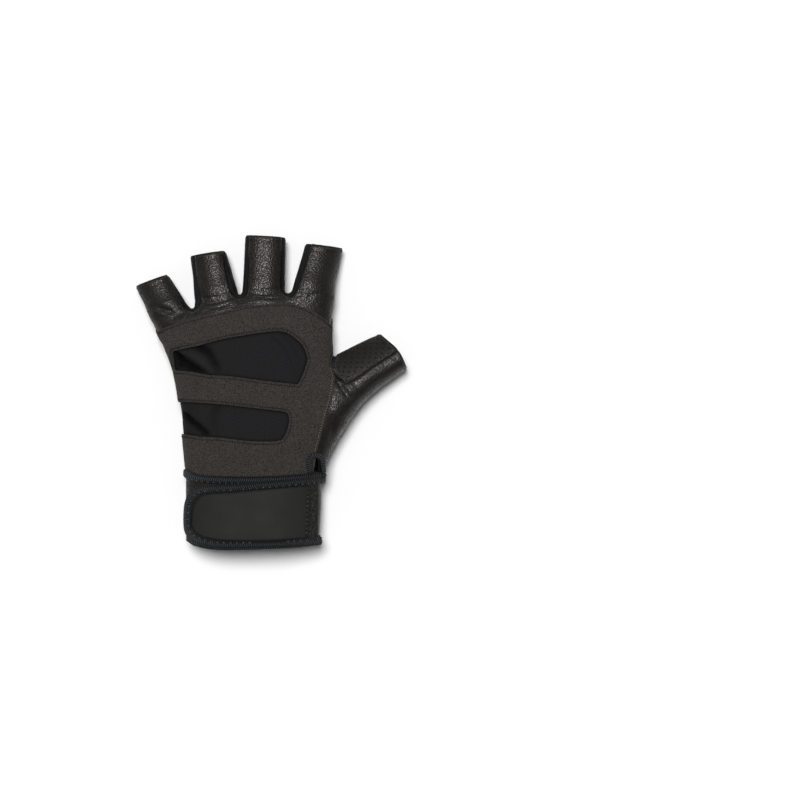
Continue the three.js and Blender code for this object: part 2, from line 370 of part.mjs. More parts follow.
ventLine.push([VENT.right + 0.2, VENT.foot]);
const ventCurve = new THREE.CatmullRomCurve3(ventLine.map(([x, y]) => new THREE.Vector3(x, y, Math.max(backHeight(x, y), seamHeight(x, y) + 3) + SUEDE + 2 * GAP + 0.3)), false, "centripetal");
// half round, because the hand form cuts its underside away
const disc = new THREE.Shape();
disc.absarc(0, 0, VENT.radius, 0, 2 * Math.PI);
const vent = solidOf(new THREE.ExtrudeGeometry(disc, { steps: 16, curveSegments: 5, extrudePath: ventCurve })).subtract(handForm(2 * GAP + SUEDE)).subtract(tapeRelief);

// ---------------------------------------------------------------- materials
const finish = (color, roughness, metalness = 0) => new THREE.MeshStandardMaterial({ color, roughness, metalness });
const leather = finish(0x1a1816, 0.42), perforated = finish(0x24211e, 0.5), suede = finish(0x3b3731, 0.95), knit = finish(0x16161a, 0.85);
const tape = finish(0x1c2026, 0.9), rubber = finish(0x2b2a29, 0.6), strapCloth = finish(0x1e1c1b, 0.85), gusset = finish(0x15161a, 0.8);

const glove = new THREE.Group();
glove.add(meshOf("finger_back_leather", fingerBacks, leather));
glove.add(meshOf("back_stretch_panel", stretchPanel, knit));
glove.add(meshOf("back_overlay", overlay, suede));
glove.add(meshOf("thumb_back_leather", thumbBack, leather));
glove.add(meshOf("thumb_palm_leather", thumbPalm, perforated));
glove.add(meshOf("palm_leather", palmLeather, perforated));
forks.forEach((f, i) => glove.add(meshOf("fourchette_" + f.name, forkPieces[i], gusset)));
glove.add(meshOf("palm_pad", palmPad, suede));
glove.add(meshOf("pull_tab_ring", pullTab("ring"), suede));
glove.add(meshOf("pull_tab_middle", pullTab("middle"), suede));
glove.add(meshOf("cuff_band", cuff, leather));
glove.add(meshOf("wrist_binding", wristTape, tape));
glove.add(meshOf("hem_binding", hemTape, tape));
glove.add(meshOf("vent_binding", vent, tape));
glove.add(meshOf("wrist_strap", strapField, strapCloth));
glove.add(meshOf("strap_binding", strapTape, tape));
glove.add(meshOf("strap_plate", plate, rubber));

export default glove;
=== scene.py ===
# A fingerless fitness glove for the left hand, lying palm down on a pale floor, seen from straight above.
# The hand form is made as a distance field from the same section tables as the solids, in millimetres. Each panel is
# cut out of its surface along the pattern lines, thickened with rolled edges, and stitched.
import math, time
import bpy
import numpy as np
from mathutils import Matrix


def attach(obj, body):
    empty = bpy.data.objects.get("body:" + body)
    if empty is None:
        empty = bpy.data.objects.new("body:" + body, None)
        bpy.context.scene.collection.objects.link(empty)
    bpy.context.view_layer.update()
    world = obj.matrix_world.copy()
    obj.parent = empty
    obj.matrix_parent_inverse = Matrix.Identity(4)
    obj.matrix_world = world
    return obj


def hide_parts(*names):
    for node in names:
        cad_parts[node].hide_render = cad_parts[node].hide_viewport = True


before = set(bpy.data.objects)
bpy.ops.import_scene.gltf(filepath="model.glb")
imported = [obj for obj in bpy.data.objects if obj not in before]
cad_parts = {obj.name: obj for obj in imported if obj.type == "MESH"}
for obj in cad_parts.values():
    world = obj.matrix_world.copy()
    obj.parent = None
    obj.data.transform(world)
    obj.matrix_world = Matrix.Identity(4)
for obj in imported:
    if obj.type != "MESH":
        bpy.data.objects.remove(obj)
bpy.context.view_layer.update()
import openvdb
from mathutils import Vector
from mathutils.kdtree import KDTree

T0 = time.time()
rng = np.random.default_rng(7)


def log(*words):
    print("[%5.1f]" % (time.time() - T0), *words)


# ------------------------------------------------------------------ tables (mm)
HAND = [  # x1, y1, x2, y2, bow, top, flat, dip, pow
    (-62.5, 46.0, 35.0, 57.0, 4.2, 19.0, 7.5, 0.0, 2.4),
    (-65.2, 42.5, 35.8, 54.5, 4.5, 24.0, 5.0, 1.0, 2.4),
    (-66.8, 36.6, 36.0, 49.0, 4.0, 27.5, 3.6, 2.0, 2.4),
    (-64.8, 31.0, 36.0, 42.4, 3.0, 29.5, 3.3, 3.0, 2.4),
    (-62.3, 24.9, 35.4, 32.0, 2.0, 31.0, 3.3, 3.0, 2.4),
    (-57.6, 13.2, 35.4, 18.0, 1.0, 32.0, 3.3, 3.0, 2.4),
    (-55.3, 1.5, 35.5, 3.0, 0.0, 32.5, 3.3, 3.0, 2.4),
    (-53.5, -10.2, 33.8, -10.2, 0.0, 33.0, 3.3, 2.5, 2.4),
    (-52.4, -21.9, 32.5, -21.9, 0.0, 33.0, 3.2, 2.0, 2.4),
    (-51.2, -36.6, 31.3, -36.6, 0.0, 32.3, 2.6, 2.0, 2.4),
    (-50.5, -45.5, 30.4, -45.5, 0.0, 31.4, 2.0, 2.0, 2.4),
    (-49.6, -52.0, 28.6, -52.0, 0.0, 31.0, 1.0, 2.5, 2.4),
    (-48.7, -60.0, 27.3, -60.0, 0.0, 31.0, 0.0, 3.0, 2.4),
    (-48.6, -76.0, 27.1, -76.0, 0.0, 31.0, 0.0, 3.0, 2.4),
    (-48.4, -97.0, 27.0, -97.0, 0.0, 31.0, 0.0, 3.0, 2.4),
]
FINGERS = {  # rx, ry, tx, ty, rootHalf, tipHalf, rootTop, tipTop, rootFlat, tipFlat, e1, f1, e2, f2
    "little": (-60.3, 48.3, -69.6, 65.8, 11.0, 10.0, 21.5, 16.0, 4.5, 0.0, -79.0, 62.4, -60.2, 69.3),
    "ring": (-31.9, 57.6, -37.0, 81.2, 13.1, 10.2, 24.0, 19.0, 4.5, 1.6, -47.2, 79.6, -26.9, 82.8),
    "middle": (-4.6, 57.6, -3.6, 91.1, 12.6, 11.8, 25.0, 19.6, 4.5, 1.6, -15.1, 91.7, 8.2, 90.4),
    "index": (24.6, 60.5, 30.7, 85.6, 12.2, 10.7, 24.5, 17.6, 4.2, 0.0, 20.0, 87.0, 41.3, 84.3),
}
THUMB = [
    (3.0, -14.0, 29.0, -45.5, 0.0, 25.0, 4.2, 2.0, 2.3),
    (9.0, 3.0, 35.0, -34.5, 0.0, 27.5, 3.4, 2.0, 2.3),
    (22.0, 15.0, 42.8, -21.6, 0.0, 27.0, 2.6, 2.0, 2.3),
    (36.5, 22.2, 52.0, -8.4, 0.0, 25.0, 1.6, 1.5, 2.2),
    (49.0, 28.3, 63.5, 2.6, 0.0, 22.5, 0.6, 1.0, 2.2),
    (63.5, 34.6, 79.2, 13.6, 0.0, 20.0, 0.0, 1.0, 2.2),
    (67.0, 36.6, 83.0, 16.6, 0.0, 19.6, 0.0, 1.0, 2.2),
]
THUMB_HEM = [(63.5, 34.4), (73.8, 24.7), (79.4, 14.0)]
OVERLAY_TOP = [(-72.0, 33.6), (-55.0, 39.6), (-43.9, 43.3), (-32.6, 46.1), (-21.5, 48.8), (-10.3, 50.8), (0.9, 51.9), (9.9, 52.0), (17.7, 50.3), (25.5, 46.6), (31.1, 42.7), (37.5, 36.5)]
OVERLAY_SIDE = [(34.9, 17.5), (35.6, 13.4), (37.3, 8.9), (36.9, 4.0), (35.6, -3.9), (32.2, -15.1), (28.9, -26.3), (26.6, -35.2), (24.0, -49.0)]
WINDOW_UPPER = [(-56.8, 23.8), (-41.4, 27.6), (-29.4, 30.8), (-14.5, 33.5), (-2.6, 35.2), (6.4, 35.5), (12.4, 32.6), (17.7, 27.8), (20.4, 21.9), (20.7, 18.3), (18.4, 11.1), (15.4, 4.7)]
WINDOW_UPPER_BACK = [(15.4, 4.7), (-5.6, 7.0), (-23.5, 9.4), (-36.6, 10.2), (-47.3, 12.1), (-55.4, 12.9)]
WINDOW_LOWER = [(-70.0, -5.2), (-53.0, -5.6), (-41.4, -6.1), (-23.5, -7.7), (-5.6, -9.8), (7.6, -11.5), (9.9, -13.4), (10.2, -17.0), (9.4, -21.1), (7.3, -25.9), (3.4, -28.3), (-11.5, -28.5), (-29.4, -26.5), (-41.4, -25.9), (-52.1, -24.1), (-70.0, -23.4)]
PALM_PAD_TOP = [(-74.0, 34.0), (-60.7, 40.7), (-45.6, 45.8), (-24.7, 48.6), (-3.8, 49.2), (17.1, 48.0), (33.0, 44.4), (38.2, 42.4)]
PALM_PAD_BACK = [(38.4, 27.0), (36.4, 20.6), (33.4, 18.8), (27.6, 18.3), (17.1, 12.6), (6.7, 4.2), (-3.8, -1.6), (-14.3, -3.3), (-24.7, -1.6), (-33.1, 3.2), (-42.5, 9.4), (-50.8, 15.7), (-57.1, 18.3), (-74.0, 19.5)]
THUMB_ARC = [(36.0, 18.6), (26.0, 14.6), (19.0, 8.5), (12.9, -1.1), (8.7, -10.5), (7.7, -18.8), (9.8, -29.2), (12.6, -38.3), (15.5, -56.0)]
THUMB_WRAP = [(78.0, 28.0), (73.8, 24.7), (60.5, 16.1), (50.0, 8.5), (43.5, 5.6), (38.3, 9.5), (35.8, 14.5)]
WRIST_LINE = [(-75.0, -45.5), (-50.8, -48.1), (-43.6, -50.3), (-34.0, -51.3), (-15.0, -51.7), (4.0, -51.2), (19.5, -50.0), (31.5, -48.8), (60.0, -47.0)]
CUFF_HEM = [(-75.0, -84.0), (-51.0, -87.2), (-44.0, -89.8), (-29.5, -91.8), (-2.3, -91.2), (14.0, -90.6), (28.4, -89.6), (60.0, -87.4)]
STRAP_EDGE = [(29.6, -48.9), (5.0, -51.3), (-21.4, -53.4), (-39.0, -54.3), (-44.4, -55.8), (-48.6, -59.5), (-50.8, -66.0), (-51.4, -76.0), (-50.4, -82.0), (-47.0, -86.4), (-41.0, -89.4), (-29.5, -91.4), (-2.3, -91.1), (29.6, -89.4)]
STRAP_FIELD = [(26.6, -53.4), (5.0, -55.4), (-21.4, -57.8), (-39.0, -58.9), (-43.6, -61.8), (-46.2, -67.0), (-47.0, -76.0), (-46.2, -80.5), (-43.4, -83.8), (-38.0, -86.0), (-27.5, -87.2), (-2.3, -87.3), (26.4, -85.6)]
PLATE_EDGE = [(23.2, -54.5), (5.0, -56.2), (-21.4, -58.7), (-38.6, -59.8), (-43.0, -62.4), (-45.5, -67.2), (-46.3, -76.0), (-45.5, -80.1), (-43.0, -83.1), (-37.8, -85.3), (-27.5, -86.6), (-2.3, -86.7), (21.6, -85.6)]
VENT = dict(left=22.6, right=30.0, head=-36.4, foot=-46.4)
CROTCHES = [("little_ring", "little", "ring", -47.0, 45.0, 4.0), ("ring_middle", "ring", "middle", -18.3, 49.8, 4.6), ("middle_index", "middle", "index", 10.4, 53.4, 4.8)]
WALL = 1.3
BINDING = 4.7


# ------------------------------------------------------------------ curves
def catmull(rows, ks):
    """Uniform Catmull-Rom through rows; ks from 0 to 1."""
    r = np.asarray(rows, float)
    n = len(r)
    ext = np.vstack([2 * r[0] - r[1], r, 2 * r[-1] - r[-2]])
    p = np.clip(np.asarray(ks) * (n - 1), 0, n - 1 - 1e-9)
    i = p.astype(int)
    t = (p - i)[:, None]
    a, b, c, d = ext[i], ext[i + 1], ext[i + 2], ext[i + 3]
    m1, m2 = 0.5 * (c - a), 0.5 * (d - b)
    return (2 * b - 2 * c + m1 + m2) * t**3 + (-3 * b + 3 * c - 2 * m1 - m2) * t**2 + m1 * t + b


def smooth(points, n):
    return catmull(points, np.linspace(0, 1, n + 1))


def resample(pts, step):
    pts = np.asarray(pts, float)
    d = np.r_[0, np.cumsum(np.linalg.norm(np.diff(pts, axis=0), axis=1))]
    n = max(2, int(round(d[-1] / step)) + 1)
    s = np.linspace(0, d[-1], n)
    return np.stack([np.interp(s, d, pts[:, k]) for k in range(pts.shape[1])], 1)


def seg_dist(P, line):
    """Distance in the plan from P to a polyline, the arc length of the nearest point, and the side (left positive)."""
    P = P[:, :2]
    best = np.full(len(P), 1e18)
    arc = np.zeros(len(P))
    side = np.zeros(len(P))
    s0 = 0.0
    for a, b in zip(line[:-1], line[1:]):
        ab = b - a
        L2 = ab @ ab
        if L2 < 1e-12:
            continue
        t = np.clip(((P - a) @ ab) / L2, 0, 1)
        q = P - (a + t[:, None] * ab)
        d = (q * q).sum(1)
        cr = ab[0] * (P[:, 1] - a[1]) - ab[1] * (P[:, 0] - a[0])
        m = d < best - 1e-9
        best[m] = d[m]
        arc[m] = s0 + t[m] * math.sqrt(L2)
        side[m] = np.sign(cr[m])
        s0 += math.sqrt(L2)
    return np.sqrt(best), arc, side


def inside(P, poly):
    x, y = P[:, 0], P[:, 1]
    c = np.zeros(len(P), bool)
    n = len(poly)
    for i in range(n):
        x1, y1 = poly[i]
        x2, y2 = poly[(i + 1) % n]
        if y1 == y2:
            continue
        m = (y1 > y) != (y2 > y)
        c ^= m & (x < (x2 - x1) * (y - y1) / (y2 - y1) + x1)
    return c


class Region:
    """Signed plan distance to an outline, positive inside."""

    def __init__(self, outline):
        self.o = np.asarray(outline, float)
        self.loop = np.vstack([self.o, self.o[:1]])

    def __call__(self, P):
        d, _, _ = seg_dist(P, self.loop)
        return np.where(inside(P, self.o), d, -d)


EYE = np.array([75.2, -4.4])


def seen(points, z):
    """A line as the camera above sees it at height z, taken back to where it is. The hand falls away at its sides."""
    p = np.asarray(points, float)
    z = z - 14 * np.clip((-35 - p[:, :1]) / 16, 0, 1) ** 2 - 8 * np.clip((p[:, :1] - 18) / 14, 0, 1) ** 2
    return (p - EYE) * (1300 - (z - 14)) / 1300 + EYE


# ------------------------------------------------------------------ the hand form as a distance field
VOX = 0.8
LO = np.array([-92.0, -104.0, -8.0])
HI = np.array([94.0, 106.0, 44.0])
N3 = np.ceil((HI - LO) / VOX).astype(int)
I0 = np.round(LO / VOX).astype(int)
ORIGIN = I0 * VOX


def ring(r, segments):
    x1, y1, x2, y2, bow, top, flat, dip, pw = r[:9]
    lean = r[9] if len(r) > 9 else 0.0
    low = flat - dip
    mid = (top + low) / 2
    a = 2 * np.pi * np.arange(segments) / segments
    c, s = np.cos(a), np.sin(a)
    u = np.sign(c) * np.abs(c) ** (2 / pw)
    v = np.sign(s) * np.abs(s) ** (2 / pw)
    z = np.where(v > 0, mid + v * (top - mid + lean * u), mid + v * (mid - low))
    # the flattened underside meets the round form in a soft curve
    k = 1.6
    h = np.clip(0.5 + 0.5 * (z - flat) / k, 0, 1)
    z = flat * (1 - h) + z * h + k * h * (1 - h)
    return np.stack([(x1 + x2) / 2 + u * (x2 - x1) / 2, (y1 + y2) / 2 + u * (y2 - y1) / 2 + bow * (1 - u * u), z], 1)


def loft_field(rows, segments, steps):
    rs = catmull(rows, np.linspace(0, 1, steps + 1))
    rings = np.array([ring(r, segments) for r in rs])
    n = segments
    P = rings.reshape(-1, 3)
    tris = []
    for i in range(steps):
        a = i * n + np.arange(n)
        b = i * n + (np.arange(n) + 1) % n
        tris += [np.stack([a, b, b + n], 1), np.stack([a, b + n, a + n], 1)]
    for i, flip in ((0, True), (steps, False)):
        k = len(P)
        P = np.vstack([P, rings[i].mean(0)])
        a = i * n + np.arange(n)
        b = i * n + (np.arange(n) + 1) % n
        tris.append(np.stack([np.full(n, k), b, a] if flip else [np.full(n, k), a, b], 1))
    T = np.vstack(tris)
    # orient outward
    vol = np.einsum("ij,ij->", P[T[:, 0]], np.cross(P[T[:, 1]], P[T[:, 2]])) / 6
    if vol < 0:
        T = T[:, ::-1]
    g = openvdb.FloatGrid.createLevelSetFromPolygons(P.astype(np.float32), triangles=np.ascontiguousarray(T.astype(np.uint32)), transform=openvdb.createLinearTransform(voxelSize=VOX), halfWidth=12.0)
    A = np.zeros(tuple(N3), np.float32)
    g.copyToArray(A, ijk=tuple(int(v) for v in I0))
    return A


LEAN = {"little": 1.5, "ring": 1.8, "middle": 0.2, "index": -1.9}  # how far the crest of each finger is pushed to +X
FULLER = {"little": (0.8, -0.35), "ring": (1.0, -0.3), "middle": (0.8, -0.1), "index": (0.6, -0.45)}  # mm on each side, and to +X


def finger_rows(f):
    rx, ry, tx, ty, rh, th, rt, tt, rf, tf = FINGERS[f][:10]
    more, over = FULLER[f]
    rx, tx, rh, th = rx + over, tx + over, rh + more * 0.6, th + more
    ax, ay = tx - rx, ty - ry
    l = math.hypot(ax, ay)
    px, py = ay / l, -ax / l

    def row(t, half, top, flat, dip):
        x, y = rx + ax / l * t, ry + ay / l * t
        return (x - px * half, y - py * half, x + px * half, y + py * half, 0.0, top, flat, dip, 2.2, LEAN[f])

    m = lambda a, b, k: a + (b - a) * k
    return [row(-13, rh - 1.2, rt - 1.5, rf + 1.5, 1), row(0, rh, rt, rf, 1), row(l * 0.45, m(rh, th, 0.62), m(rt, tt, 0.5), m(rf, tf, 0.6), 1), row(l, th, tt, tf, 1), row(l + 6, th, tt, tf, 1)]


def smin(a, b, k):
    h = np.clip(k - np.abs(a - b), 0, None) / k
    return np.minimum(a, b) - h * h * k * 0.25


fingers = None
for name in FINGERS:
    g = loft_field(finger_rows(name), 48, 24)
    fingers = g if fingers is None else smin(fingers, g, 3.0)
SLIM = [0.0, 0.2, 1.9, 1.5, 1.0, 0.8, 0.8, 0.8, 0.8, 1.0, 1.1, -0.2, -1.3, -0.9, -0.4]
hand = loft_field([(r[0] + k, r[1], r[2] - (0.4 if k > 0 else 1.4) * k, *r[3:]) for r, k in zip(HAND, SLIM)], 96, 90)
thumb = loft_field([(*r, k) for r, k in zip(THUMB, (0.0, 1.6, 3.8, 5.0, 5.0, 4.6, 4.6))], 64, 40)
FIELD = smin(smin(hand, fingers, 6.0), thumb, 7.5)

# the gaps between the fingers, and the thumb's, are opened down to their rounded ends
GX = (np.arange(N3[0]) * VOX + ORIGIN[0])[:, None]
GY = (np.arange(N3[1]) * VOX + ORIGIN[1])[None, :]
GAPS = [  # x1, y1, x2, y2, radius at the end, radius at the open side
    (-46.2, 50.5, -53.5, 69.3, 1.25, 6.3),
    (-18.3, 58.3, -21.1, 81.0, 1.2, 4.7),
    (9.9, 60.1, 13.5, 83.9, 1.9, 4.8),
    (36.0, 22.5, 50.2, 40.4, 1.1, 10.9),
]
for x1, y1, x2, y2, r1, r2 in GAPS:
    L2 = (x2 - x1) ** 2 + (y2 - y1) ** 2
    t = np.clip(((GX - x1) * (x2 - x1) + (GY - y1) * (y2 - y1)) / L2, 0, 1.5)
    gap = np.hypot(GX - x1 - t * (x2 - x1), GY - y1 - t * (y2 - y1)) - (r1 + (r2 - r1) * t)
    FIELD = -smin(-FIELD, np.repeat(gap[:, :, None], N3[2], axis=2).astype(np.float32), 1.5)
log("field", FIELD.shape)


def sample(A, P):
    q = (np.asarray(P, float) - ORIGIN) / VOX
    q = np.clip(q, 0, np.array(A.shape) - 1.001)
    i = q.astype(int)
    f = (q - i)
    x, y, z = i[:, 0], i[:, 1], i[:, 2]
    fx, fy, fz = f[:, 0], f[:, 1], f[:, 2]
    c = lambda a, b, d: A[x + a, y + b, z + d]
    c00 = c(0, 0, 0) * (1 - fx) + c(1, 0, 0) * fx
    c10 = c(0, 1, 0) * (1 - fx) + c(1, 1, 0) * fx
    c01 = c(0, 0, 1) * (1 - fx) + c(1, 0, 1) * fx
    c11 = c(0, 1, 1) * (1 - fx) + c(1, 1, 1) * fx
    return (c00 * (1 - fy) + c10 * fy) * (1 - fz) + (c01 * (1 - fy) + c11 * fy) * fz


def blur(A, n=1):
    for _ in range(n):
        for ax in range(3):
            B = A.copy()
            s1 = [slice(None)] * 3
            s2 = [slice(None)] * 3
            s3 = [slice(None)] * 3
            s1[ax], s2[ax], s3[ax] = slice(1, -1), slice(0, -2), slice(2, None)
            B[tuple(s1)] = 0.5 * A[tuple(s1)] + 0.25 * (A[tuple(s2)] + A[tuple(s3)])
            A = B
    return A


FIELD = blur(FIELD, 1)
GRAD = [blur(g.astype(np.float32), 1) for g in np.gradient(FIELD, VOX)]


def normal_at(P):
    n = np.stack([sample(g, P) for g in GRAD], 1)
    return n / np.maximum(np.linalg.norm(n, axis=1), 1e-9)[:, None]


def to_surface(P, iters=3, level=0.0):
    for _ in range(iters):
        d = sample(FIELD, P) - level
        g = np.stack([sample(h, P) for h in GRAD], 1)
        g2 = np.maximum((g * g).sum(1), 0.2)
        P = P - g * (d / g2)[:, None]
    return P


# ------------------------------------------------------------------ side seam height
seam_pts = []
for rows in (HAND[2:], THUMB[2:]):
    for r in rows:
        z = (r[5] + r[6] - r[7]) / 2
        seam_pts += [(r[0], r[1], z), (r[2], r[3], z)]
for f in FINGERS:
    for r in finger_rows(f)[1:]:
        z = (r[5] + r[6] - r[7]) / 2
        seam_pts += [(r[0], r[1], z), (r[2], r[3], z)]
seam_pts = np.array(seam_pts)


def seam_z(P):
    d2 = (P[:, None, 0] - seam_pts[None, :, 0]) ** 2 + (P[:, None, 1] - seam_pts[None, :, 1]) ** 2 + 4
    w = 1 / d2**2
    return (w * seam_pts[None, :, 2]).sum(1) / w.sum(1)


# ------------------------------------------------------------------ surface mesh
g = openvdb.FloatGrid(20.0)
g.copyFromArray(FIELD, ijk=(0, 0, 0))
pts, quads = g.convertToQuads(0.0)
P0 = np.asarray(pts, float) * VOX + ORIGIN
Q0 = np.asarray(quads, int)
T0_ = np.vstack([Q0[:, [0, 1, 2]], Q0[:, [0, 2, 3]]])


def tri_normals(P, T):
    return np.cross(P[T[:, 1]] - P[T[:, 0]], P[T[:, 2]] - P[T[:, 0]])


if (tri_normals(P0, T0_) * normal_at(P0[T0_].mean(1))).sum() < 0:
    T0_ = T0_[:, ::-1]
# even out the vertices over the surface
E = np.unique(np.sort(np.vstack([Q0[:, [0, 1]], Q0[:, [1, 2]], Q0[:, [2, 3]], Q0[:, [3, 0]]]), axis=1), axis=0)
deg = np.bincount(E.ravel(), minlength=len(P0)).astype(float)
for _ in range(3):
    acc = np.zeros_like(P0)
    for k in range(3):
        acc[:, k] = np.bincount(E[:, 0], P0[E[:, 1], k], len(P0)) + np.bincount(E[:, 1], P0[E[:, 0], k], len(P0))
    P0 = to_surface(0.4 * P0 + 0.6 * acc / deg[:, None], 2)
log("surface", len(P0), "points", len(T0_), "triangles")


# ------------------------------------------------------------------ noise and folds
_perm = rng.permutation(4096)


def noise2(x, y, scale, seed=0):
    """Smooth value noise in the plan, about -1 to 1."""
    x, y = x / scale + 57.3 * seed, y / scale - 31.7 * seed
    i, j = np.floor(x).astype(int), np.floor(y).astype(int)
    fx, fy = x - i, y - j
    fx, fy = fx * fx * (3 - 2 * fx), fy * fy * (3 - 2 * fy)
    h = lambda a, b: _perm[(_perm[(a + 911 * seed) & 4095] + b) & 4095] / 2047.5 - 1
    return (h(i, j) * (1 - fx) + h(i + 1, j) * fx) * (1 - fy) + (h(i, j + 1) * (1 - fx) + h(i + 1, j + 1) * fx) * fy


# Folds: a line in the plan, how deep (negative) or high it is at its middle, half its width, and the side it is on.
FOLDS = [  # name, points, height, width, side
    # finger roots: short creases across
    ("f1", [(-12.5, 58.6), (-5.0, 57.2), (2.0, 57.8), (8.0, 59.0)], -0.75, 1.3, "back"),
    ("f2", [(-10.0, 60.6), (-2.0, 59.6), (6.0, 60.8)], -0.5, 1.0, "back"),
    ("f3", [(-9.0, 55.4), (-1.0, 54.6), (7.0, 56.0)], -0.4, 1.0, "back"),
    ("f4", [(-42.0, 52.0), (-34.0, 51.8), (-26.0, 53.6), (-21.0, 56.4)], -0.7, 1.3, "back"),
    ("f5", [(-40.5, 55.0), (-33.0, 54.8), (-26.5, 57.0)], -0.5, 1.0, "back"),
    ("f6", [(-38.0, 49.3), (-30.0, 49.6), (-23.0, 51.6)], -0.4, 1.0, "back"),
    ("f7", [(-70.5, 50.5), (-63.5, 48.6), (-57.0, 46.6), (-51.0, 44.6)], -1.1, 2.0, "back"),
    ("f8", [(-68.0, 44.4), (-61.0, 43.6), (-54.0, 42.8)], -0.6, 1.4, "back"),
    ("f9", [(-71.0, 55.0), (-66.0, 52.6), (-60.0, 50.8)], 0.25, 1.8, "back"),
    ("f10", [(16.0, 57.2), (22.0, 56.0), (29.0, 57.0)], -0.3, 1.4, "back"),
    # stretch fabric drawn to the little-finger side
    ("w0", [(-59.0, 12.0), (-55.5, 16.5), (-54.0, 21.0), (-53.0, 24.5)], -0.9, 3.0, "win1"),
    ("w1", [(-60.0, 24.0), (-53.0, 20.0), (-46.0, 15.6), (-38.0, 10.6)], -4.2, 2.0, "win1"),
    ("w2", [(-58.0, 27.0), (-49.0, 23.0), (-41.0, 18.6), (-34.0, 12.0)], 1.3, 2.0, "win1"),
    ("w3", [(-43.0, 27.0), (-37.0, 24.0), (-33.0, 19.0), (-30.0, 13.0)], -2.0, 2.3, "win1"),
    ("w5", [(-54.0, 16.0), (-49.0, 14.4), (-44.0, 11.8)], -1.6, 1.6, "win1"),
    ("w6", [(8.0, 33.5), (13.0, 27.0), (16.5, 20.0)], -0.35, 1.2, "win1"),
    ("w7", [(2.0, 31.5), (9.5, 24.0), (14.0, 14.0)], -0.3, 1.2, "win1"),
    ("w8", [(-30.0, -8.5), (-33.0, -15.0), (-30.0, -24.0)], -0.5, 2.4, "win2"),
    ("w4", [(-55.0, -11.0), (-48.0, -15.0), (-42.0, -19.6), (-36.0, -25.0)], -3.6, 2.0, "win2"),
    # thumb: the fold from its crotch, and the drape beside it
    ("t1", [(36.5, 13.5), (40.0, 6.0), (44.0, -0.5), (48.5, -5.5)], -0.85, 1.9, "back"),
    ("t2", [(38.8, 12.0), (43.0, 4.6), (47.6, -2.0)], 0.3, 2.2, "back"),
    ("t3", [(37.0, -1.0), (38.5, -8.0), (39.0, -15.0)], 0.5, 2.6, "back"),
    ("t4", [(35.6, -12.0), (36.6, -20.0), (34.6, -30.0)], -0.5, 2.2, "back"),
    ("t5", [(47.0, 10.0), (50.0, 4.0), (53.0, -1.5)], -0.35, 2.0, "back"),
    # overlay near the vent
    ("o1", [(14.0, -31.0), (19.0, -35.0), (23.0, -39.5)], -0.5, 2.4, "back"),
    ("o2", [(9.0, -36.0), (15.0, -40.0), (20.0, -44.0)], 0.4, 2.6, "back"),
    # palm: puckers above the cuff, and creases at the finger roots
    ("p1", [(-40.0, -38.0), (-36.0, -42.0), (-35.0, -48.0)], -0.8, 1.8, "palm"),
    ("p2", [(-26.0, -37.0), (-25.0, -42.0), (-25.5, -48.0)], -0.8, 1.8, "palm"),
    ("p3", [(-12.0, -36.0), (-13.0, -42.0), (-14.0, -48.0)], -0.8, 1.8, "palm"),
    ("p4", [(-2.0, -38.0), (-3.0, -43.0), (-4.0, -48.0)], -0.6, 1.6, "palm"),
    ("p5", [(-42.0, 55.0), (-34.0, 57.0), (-25.0, 59.5)], -0.6, 1.2, "palm"),
    ("p6", [(-14.0, 60.0), (-5.0, 60.6), (5.0, 61.0)], -0.6, 1.2, "palm"),
    ("p7", [(15.0, 62.0), (24.0, 62.0), (33.0, 61.0)], -0.6, 1.2, "palm"),
    ("p8", [(-68.0, 50.0), (-61.0, 50.6), (-53.0, 53.0)], -0.6, 1.2, "palm"),
    ("p9", [(24.0, 6.0), (31.0, -3.0), (36.0, -14.0)], -0.6, 2.0, "palm"),
    ("p10", [(30.0, 10.0), (39.0, 3.0), (46.0, -5.0)], -0.5, 2.0, "palm"),
]


WINDOWS = {
    "win1": Region(np.vstack([smooth(seen(WINDOW_UPPER, 31.0), 40), smooth(seen(WINDOW_UPPER_BACK, 31.0), 30)[1:]])),
    "win2": Region(smooth(seen(WINDOW_LOWER, 32.0), 60)),
}


def fold_height(P, side):
    h = np.zeros(len(P))
    for name, pts, depth, width, where in FOLDS:
        if where != side and not (side == "back" and where in WINDOWS):
            continue
        line = smooth(pts, 14)
        lo, hi = line.min(0) - 4 * width, line.max(0) + 4 * width
        m = (P[:, 0] > lo[0]) & (P[:, 0] < hi[0]) & (P[:, 1] > lo[1]) & (P[:, 1] < hi[1])
        if not m.any():
            continue
        d, s, _ = seg_dist(P[m], line)
        L = np.linalg.norm(np.diff(line, axis=0), axis=1).sum()
        wob = 1 + 0.25 * noise2(P[m][:, 0], P[m][:, 1], 3.0, 5)
        fade = np.sin(np.pi * np.clip(s / L, 0.0, 1)) ** 0.7
        if where in WINDOWS:
            fade = np.clip(1.15 - s / L, 0, 1) ** 0.6 * np.clip((WINDOWS[where](P[m]) + 0.4) / 2.0, 0, 1)
        h[m] += depth * wob * fade * np.exp(-((d / width) ** 2))
    return h


ZS0 = seam_z(P0)
is_back = P0[:, 2] > ZS0
N0 = normal_at(P0)
up_w = np.clip(np.abs(N0[:, 2]) * 1.6, 0, 1)
h = np.where(is_back, fold_height(P0, "back"), fold_height(P0, "palm")) * up_w
fold_h = h.copy()
# slow unevenness of soft goods
h += 0.22 * noise2(P0[:, 0] + 0.6 * P0[:, 2], P0[:, 1], 15.0, 1) + 0.1 * noise2(P0[:, 0] + 0.6 * P0[:, 2], P0[:, 1], 6.0, 2)
